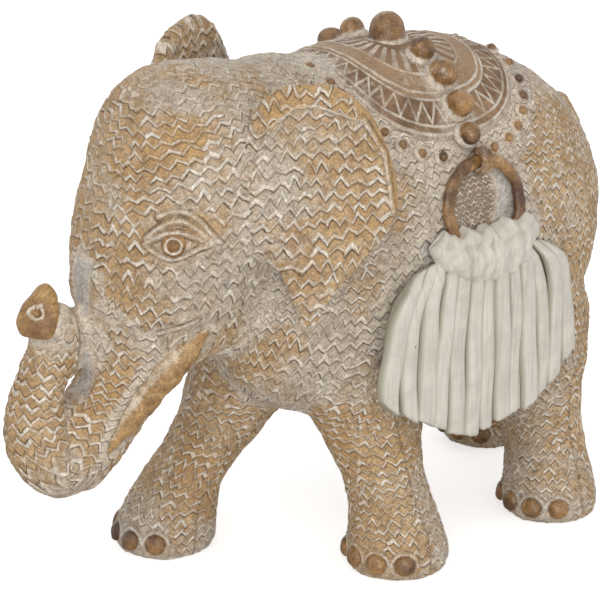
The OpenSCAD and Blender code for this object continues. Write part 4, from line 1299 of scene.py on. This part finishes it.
def strand_place(s, v, lift, side):
    half = 20 + 7.5 * (1 - (1 - v) ** 7) + 3.6 * (1 - (1 - v) ** 2)
    long = 47 - 17 * np.abs(s) ** 2.2
    top = 82.5 - 3 * np.abs(s) ** 3
    return on_flank(MID + s * half, top - v * long, lift * np.clip(0.35 + 5 * v, 0, 1), side)


# %% One strand, copied and laid along the flank
bpy.ops.mesh.primitive_uv_sphere_add(segments=32, ring_count=56, radius=0.001, location=(0, 0, 0))
pattern_strand = bpy.context.object
STRANDS = 13


def fringe(side, node, name):
    strands = []
    for number in range(STRANDS):
        ball = points_of(pattern_strand)
        strand = bpy.data.objects.new(f"{name}_{number}", pattern_strand.data.copy())
        bpy.context.scene.collection.objects.link(strand)
        v = np.arccos(np.clip(ball[:, 2], -1, 1)) / math.pi
        turn = np.arctan2(ball[:, 1], ball[:, 0])
        body = full(2 * v - 1, 16) ** 0.7
        across = np.sign(np.cos(turn)) * np.abs(np.cos(turn)) ** 0.75 * body
        depth = np.sin(turn) * body
        wiggle = 0.012 * np.sin(5 * v + 2.3 * number) + 0.006 * np.sin(13 * v + number)
        s = (number + 0.5 + (0.56 + 0.05 * math.sin(3.7 * number)) * across) / STRANDS * 2 - 1 + wiggle
        ragged = 1 + 0.02 * math.sin(5.1 * number + 1) + 0.006 * np.sin(9 * across + number) * (v > 0.9)
        grain = 0.07 * np.sin(7 * turn + 1.3 * number + 2 * np.sin(4 * v))
        grain += 0.04 * np.sin(15 * turn + 9 * np.sin(2 * v + number))
        lift = 2.9 + 0.35 * math.sin(2.9 * number + 0.6) + (1.5 + grain) * depth
        lift += 0.3 * np.sin(6 * v + 1.7 * number)
        move_points(strand, strand_place(s, v * ragged, lift, side))
        # painted shade: the strand's side edges turn darker, as the gaps between strands fall in shade
        shade_in_gap = np.clip((np.abs(across) - 0.64) / 0.3, 0, 1)
        mark(strand, "tone", np.stack([shade_in_gap, 0 * v, v], 1))
        strands.append(strand)
    # a flat sheet behind the strands, in the full painted shade colour, shows dark through the gaps
    bpy.ops.mesh.primitive_grid_add(x_subdivisions=36, y_subdivisions=24, size=2, location=(0, 0, 0))
    shadow_backing = bpy.context.object
    flat = points_of(shadow_backing) / 1000
    move_points(shadow_backing, strand_place(0.97 * flat[:, 0], 0.5 - 0.47 * flat[:, 1], 1.6 + 0 * flat[:, 0], side))
    work(shadow_backing, "SOLIDIFY", thickness=0.0012, offset=0)
    mark(shadow_backing, "tone", np.tile([1.0, 0, 0], (len(shadow_backing.data.vertices), 1)))
    choose(strands[0], *strands[1:], shadow_backing)
    bpy.ops.object.join()
    whole = strands[0]
    whole.name = whole.data.name = name
    bpy.ops.object.mode_set(mode="EDIT")
    bpy.ops.mesh.select_all(action="SELECT")
    bpy.ops.mesh.normals_make_consistent(inside=False)
    bpy.ops.object.mode_set(mode="OBJECT")
    dress(whole, [node], cream)


# %% Cream paint, with painted shade in the gaps
cream, tree, bsdf = new_material("cream_paint")
tones = read_tone(tree)
place = put(tree, "ShaderNodeTexCoord").outputs["Object"]
streak = stretched(tree, place, (1500.0, 300.0, 60.0))
cloud = noise(tree, place, 160.0, 4.0)
spots = put(tree, "ShaderNodeTexVoronoi", {"Vector": place, "Scale": 210.0, "Randomness": 1.0})
lucky = put(tree, "ShaderNodeSeparateColor", {0: spots.outputs["Color"]}).outputs[0]
small = ramp(tree, spots.outputs["Distance"], 0.05, 0.09, 1.0, 0.0)
hole = sums(tree, "MULTIPLY", small, sums(tree, "GREATER_THAN", lucky, 0.88))
tone = mixed(tree, ramp(tree, cloud, 0.35, 0.7), srgb(220, 214, 201), srgb(205, 199, 186))
tone = mixed(tree, ramp(tree, streak, 0.46, 0.72, 0.0, 0.5), tone, srgb(178, 174, 158))
# the first tone channel mixes in painted shade, srgb(150, 145, 122), for gaps between strands and fold valleys
tone = mixed(tree, sums(tree, "MULTIPLY", tones[0], 0.75), tone, srgb(150, 145, 122))
tree.links.new(mixed(tree, hole, tone, srgb(96, 86, 70)), bsdf.inputs["Base Color"])
roughen(tree, bsdf, 0.55, sums(tree, "ADD", streak, cloud), 0.5, 0.0004)
fringe(1, "tassel_fringe_left", "strands_left")
fringe(-1, "tassel_fringe_right", "strands_right")
bpy.data.objects.remove(pattern_strand)


# %% The gathered head: one cushion, pressed to a crescent and pulled into folds
def gathered(side, node, name):
    bpy.ops.mesh.primitive_uv_sphere_add(segments=192, ring_count=96, radius=0.001, location=(0, 0, 0))
    head = bpy.context.object
    head.name = head.data.name = name
    ball = points_of(head)
    s, out = ball[:, 0], ball[:, 2]
    up = np.clip(ball[:, 1] / np.sqrt(np.clip(1 - s**2, 1e-4, 1)), -1, 1)
    tall = (6.4 - 3.4 * s**2) * full(s, 5)
    fan = s * (1 - 0.12 * up) + 0.03 * np.sin(9 * s + 2) + 0.02 * np.sin(5 * up + 3 * s)
    turn = 2 * np.pi * 1.9 * fan + 0.7 * np.sin(4.1 * fan + 1) + 0.25 * np.sin(11 * fan)
    fold = np.cos(2 * turn) * (0.8 + 0.35 * np.sin(1.7 * turn + 0.5))
    small = np.sin(2.3 * turn + 1.4 + 2 * up)
    low, high = np.clip(-up, 0, 1) ** 2, np.clip(up, 0, 1) ** 2
    x = MID + 0.6 + (17.2 - 3.4 * high) * s
    frill = np.sin(1.3 * turn + 2) + 0.5 * np.sin(2.9 * turn)
    z = 80.6 + 4.4 * s**2 + up * tall + 0.7 * fold * low + frill * high
    front = np.where(out > 0, np.abs(out) ** 0.55, -np.abs(out))
    tie = np.exp(-(((up - 0.42) / 0.17) ** 2))
    puffed = 5.7 + 0.9 * low - 0.9 * (fold + 0.4) * (0.55 + low) + 0.12 * small - 0.8 * tie
    deep = np.where(out > 0, puffed, 0.8)
    lift = 1.1 + front * deep * (1 - 0.25 * s**4)
    move_points(head, on_flank(x, z, lift, side))
    work(head, "SMOOTH", factor=0.5, iterations=6)
    places = points_of(head)
    rough = 0.14 * waves(places, 3.6, 1.0) + 0.2 * waves(places, 8, 5.0)
    choose(head)
    bpy.ops.object.mode_set(mode="EDIT")
    bpy.ops.mesh.select_all(action="SELECT")
    bpy.ops.mesh.normals_make_consistent(inside=False)
    bpy.ops.object.mode_set(mode="OBJECT")
    move_points(head, places + outward(head) * rough[:, None])
    # painted shade: the fold valleys and the tie are marked darker
    shade_in_gap = np.clip(0.3 * fold + 0.35 * tie - 0.1 - 0.6 * rough, 0, 0.55)
    mark(head, "tone", np.stack([shade_in_gap, 0 * shade_in_gap, shade_in_gap], 1))
    dress(head, [node], cream)
    print(name, len(head.data.polygons), "faces")


gathered(1, "tassel_head_left", "gathers_left")
gathered(-1, "tassel_head_right", "gathers_right")
# %% [markdown]
# ## Light, floor and camera
# The photograph is a soft studio picture on white: a large lamp high on the left, a fill on the right, a
# low lamp in front that opens the shadows, and an even sky. A weak lamp behind lights the back. The
# camera stands where the photograph was taken, found from the feet, ears and spine.

# %% Floor, world, lamps and camera
bpy.ops.mesh.primitive_plane_add(size=6)
floor = bpy.context.object
floor.name = "floor"
floor_finish, tree, bsdf = new_material("pale_floor")
bsdf.inputs["Base Color"].default_value = (0.85, 0.85, 0.85, 1)
bsdf.inputs["Roughness"].default_value = 0.9
bsdf.inputs["Emission Color"].default_value = (1, 1, 1, 1)
seen = put(tree, "ShaderNodeLightPath").outputs["Is Camera Ray"]
tree.links.new(sums(tree, "MULTIPLY", seen, 0.6), bsdf.inputs["Emission Strength"])
floor.data.materials.append(floor_finish)

scene = bpy.context.scene
scene.world = bpy.data.worlds.new("studio")
scene.world.use_nodes = True
sky = scene.world.node_tree
sky.nodes["Background"].inputs["Color"].default_value = (1, 1, 1, 1)
rays = put(sky, "ShaderNodeLightPath").outputs
seen = sums(sky, "MAXIMUM", rays["Is Camera Ray"], rays["Is Glossy Ray"])
strength = put(sky, "ShaderNodeMix", {0: seen, 2: 0.57, 3: 1.0}).outputs[0]
sky.links.new(strength, sky.nodes["Background"].inputs["Strength"])


def lamp(name, place, power, size):
    data = bpy.data.lights.new(name, "AREA")
    data.energy, data.size = power, size
    light = bpy.data.objects.new(name, data)
    scene.collection.objects.link(light)
    light.location = place
    light.rotation_euler = (Vector((0, 0, 0.06)) - Vector(place)).to_track_quat("-Z", "Y").to_euler()


lamp("key_lamp", (-0.75, -0.55, 0.95), 3.6, 0.7)
lamp("fill_lamp", (0.75, -0.8, 0.55), 0.8, 0.8)
lamp("low_lamp", (-0.5, -0.95, 0.12), 4.4, 0.8)
lamp("back_lamp", (0.55, 0.95, 0.6), 1.4, 0.8)

aim = Vector((0.0153, 0.03028, 0.05129))
lens = bpy.data.cameras.new("photo_camera")
lens.lens, lens.sensor_width = 161.7, 36.0
lens.clip_start, lens.clip_end = 0.01, 20.0
camera = bpy.data.objects.new("photo_camera", lens)
scene.collection.objects.link(camera)
camera.location = aim + 0.7 * Vector((-0.6059, -0.7221, 0.3338))
camera.rotation_euler = (aim - camera.location).to_track_quat("-Z", "Y").to_euler()
scene.camera = camera
scene.view_settings.view_transform = "Standard"
print("lamps:", len(bpy.data.lights), "camera at", [round(v, 3) for v in camera.location])
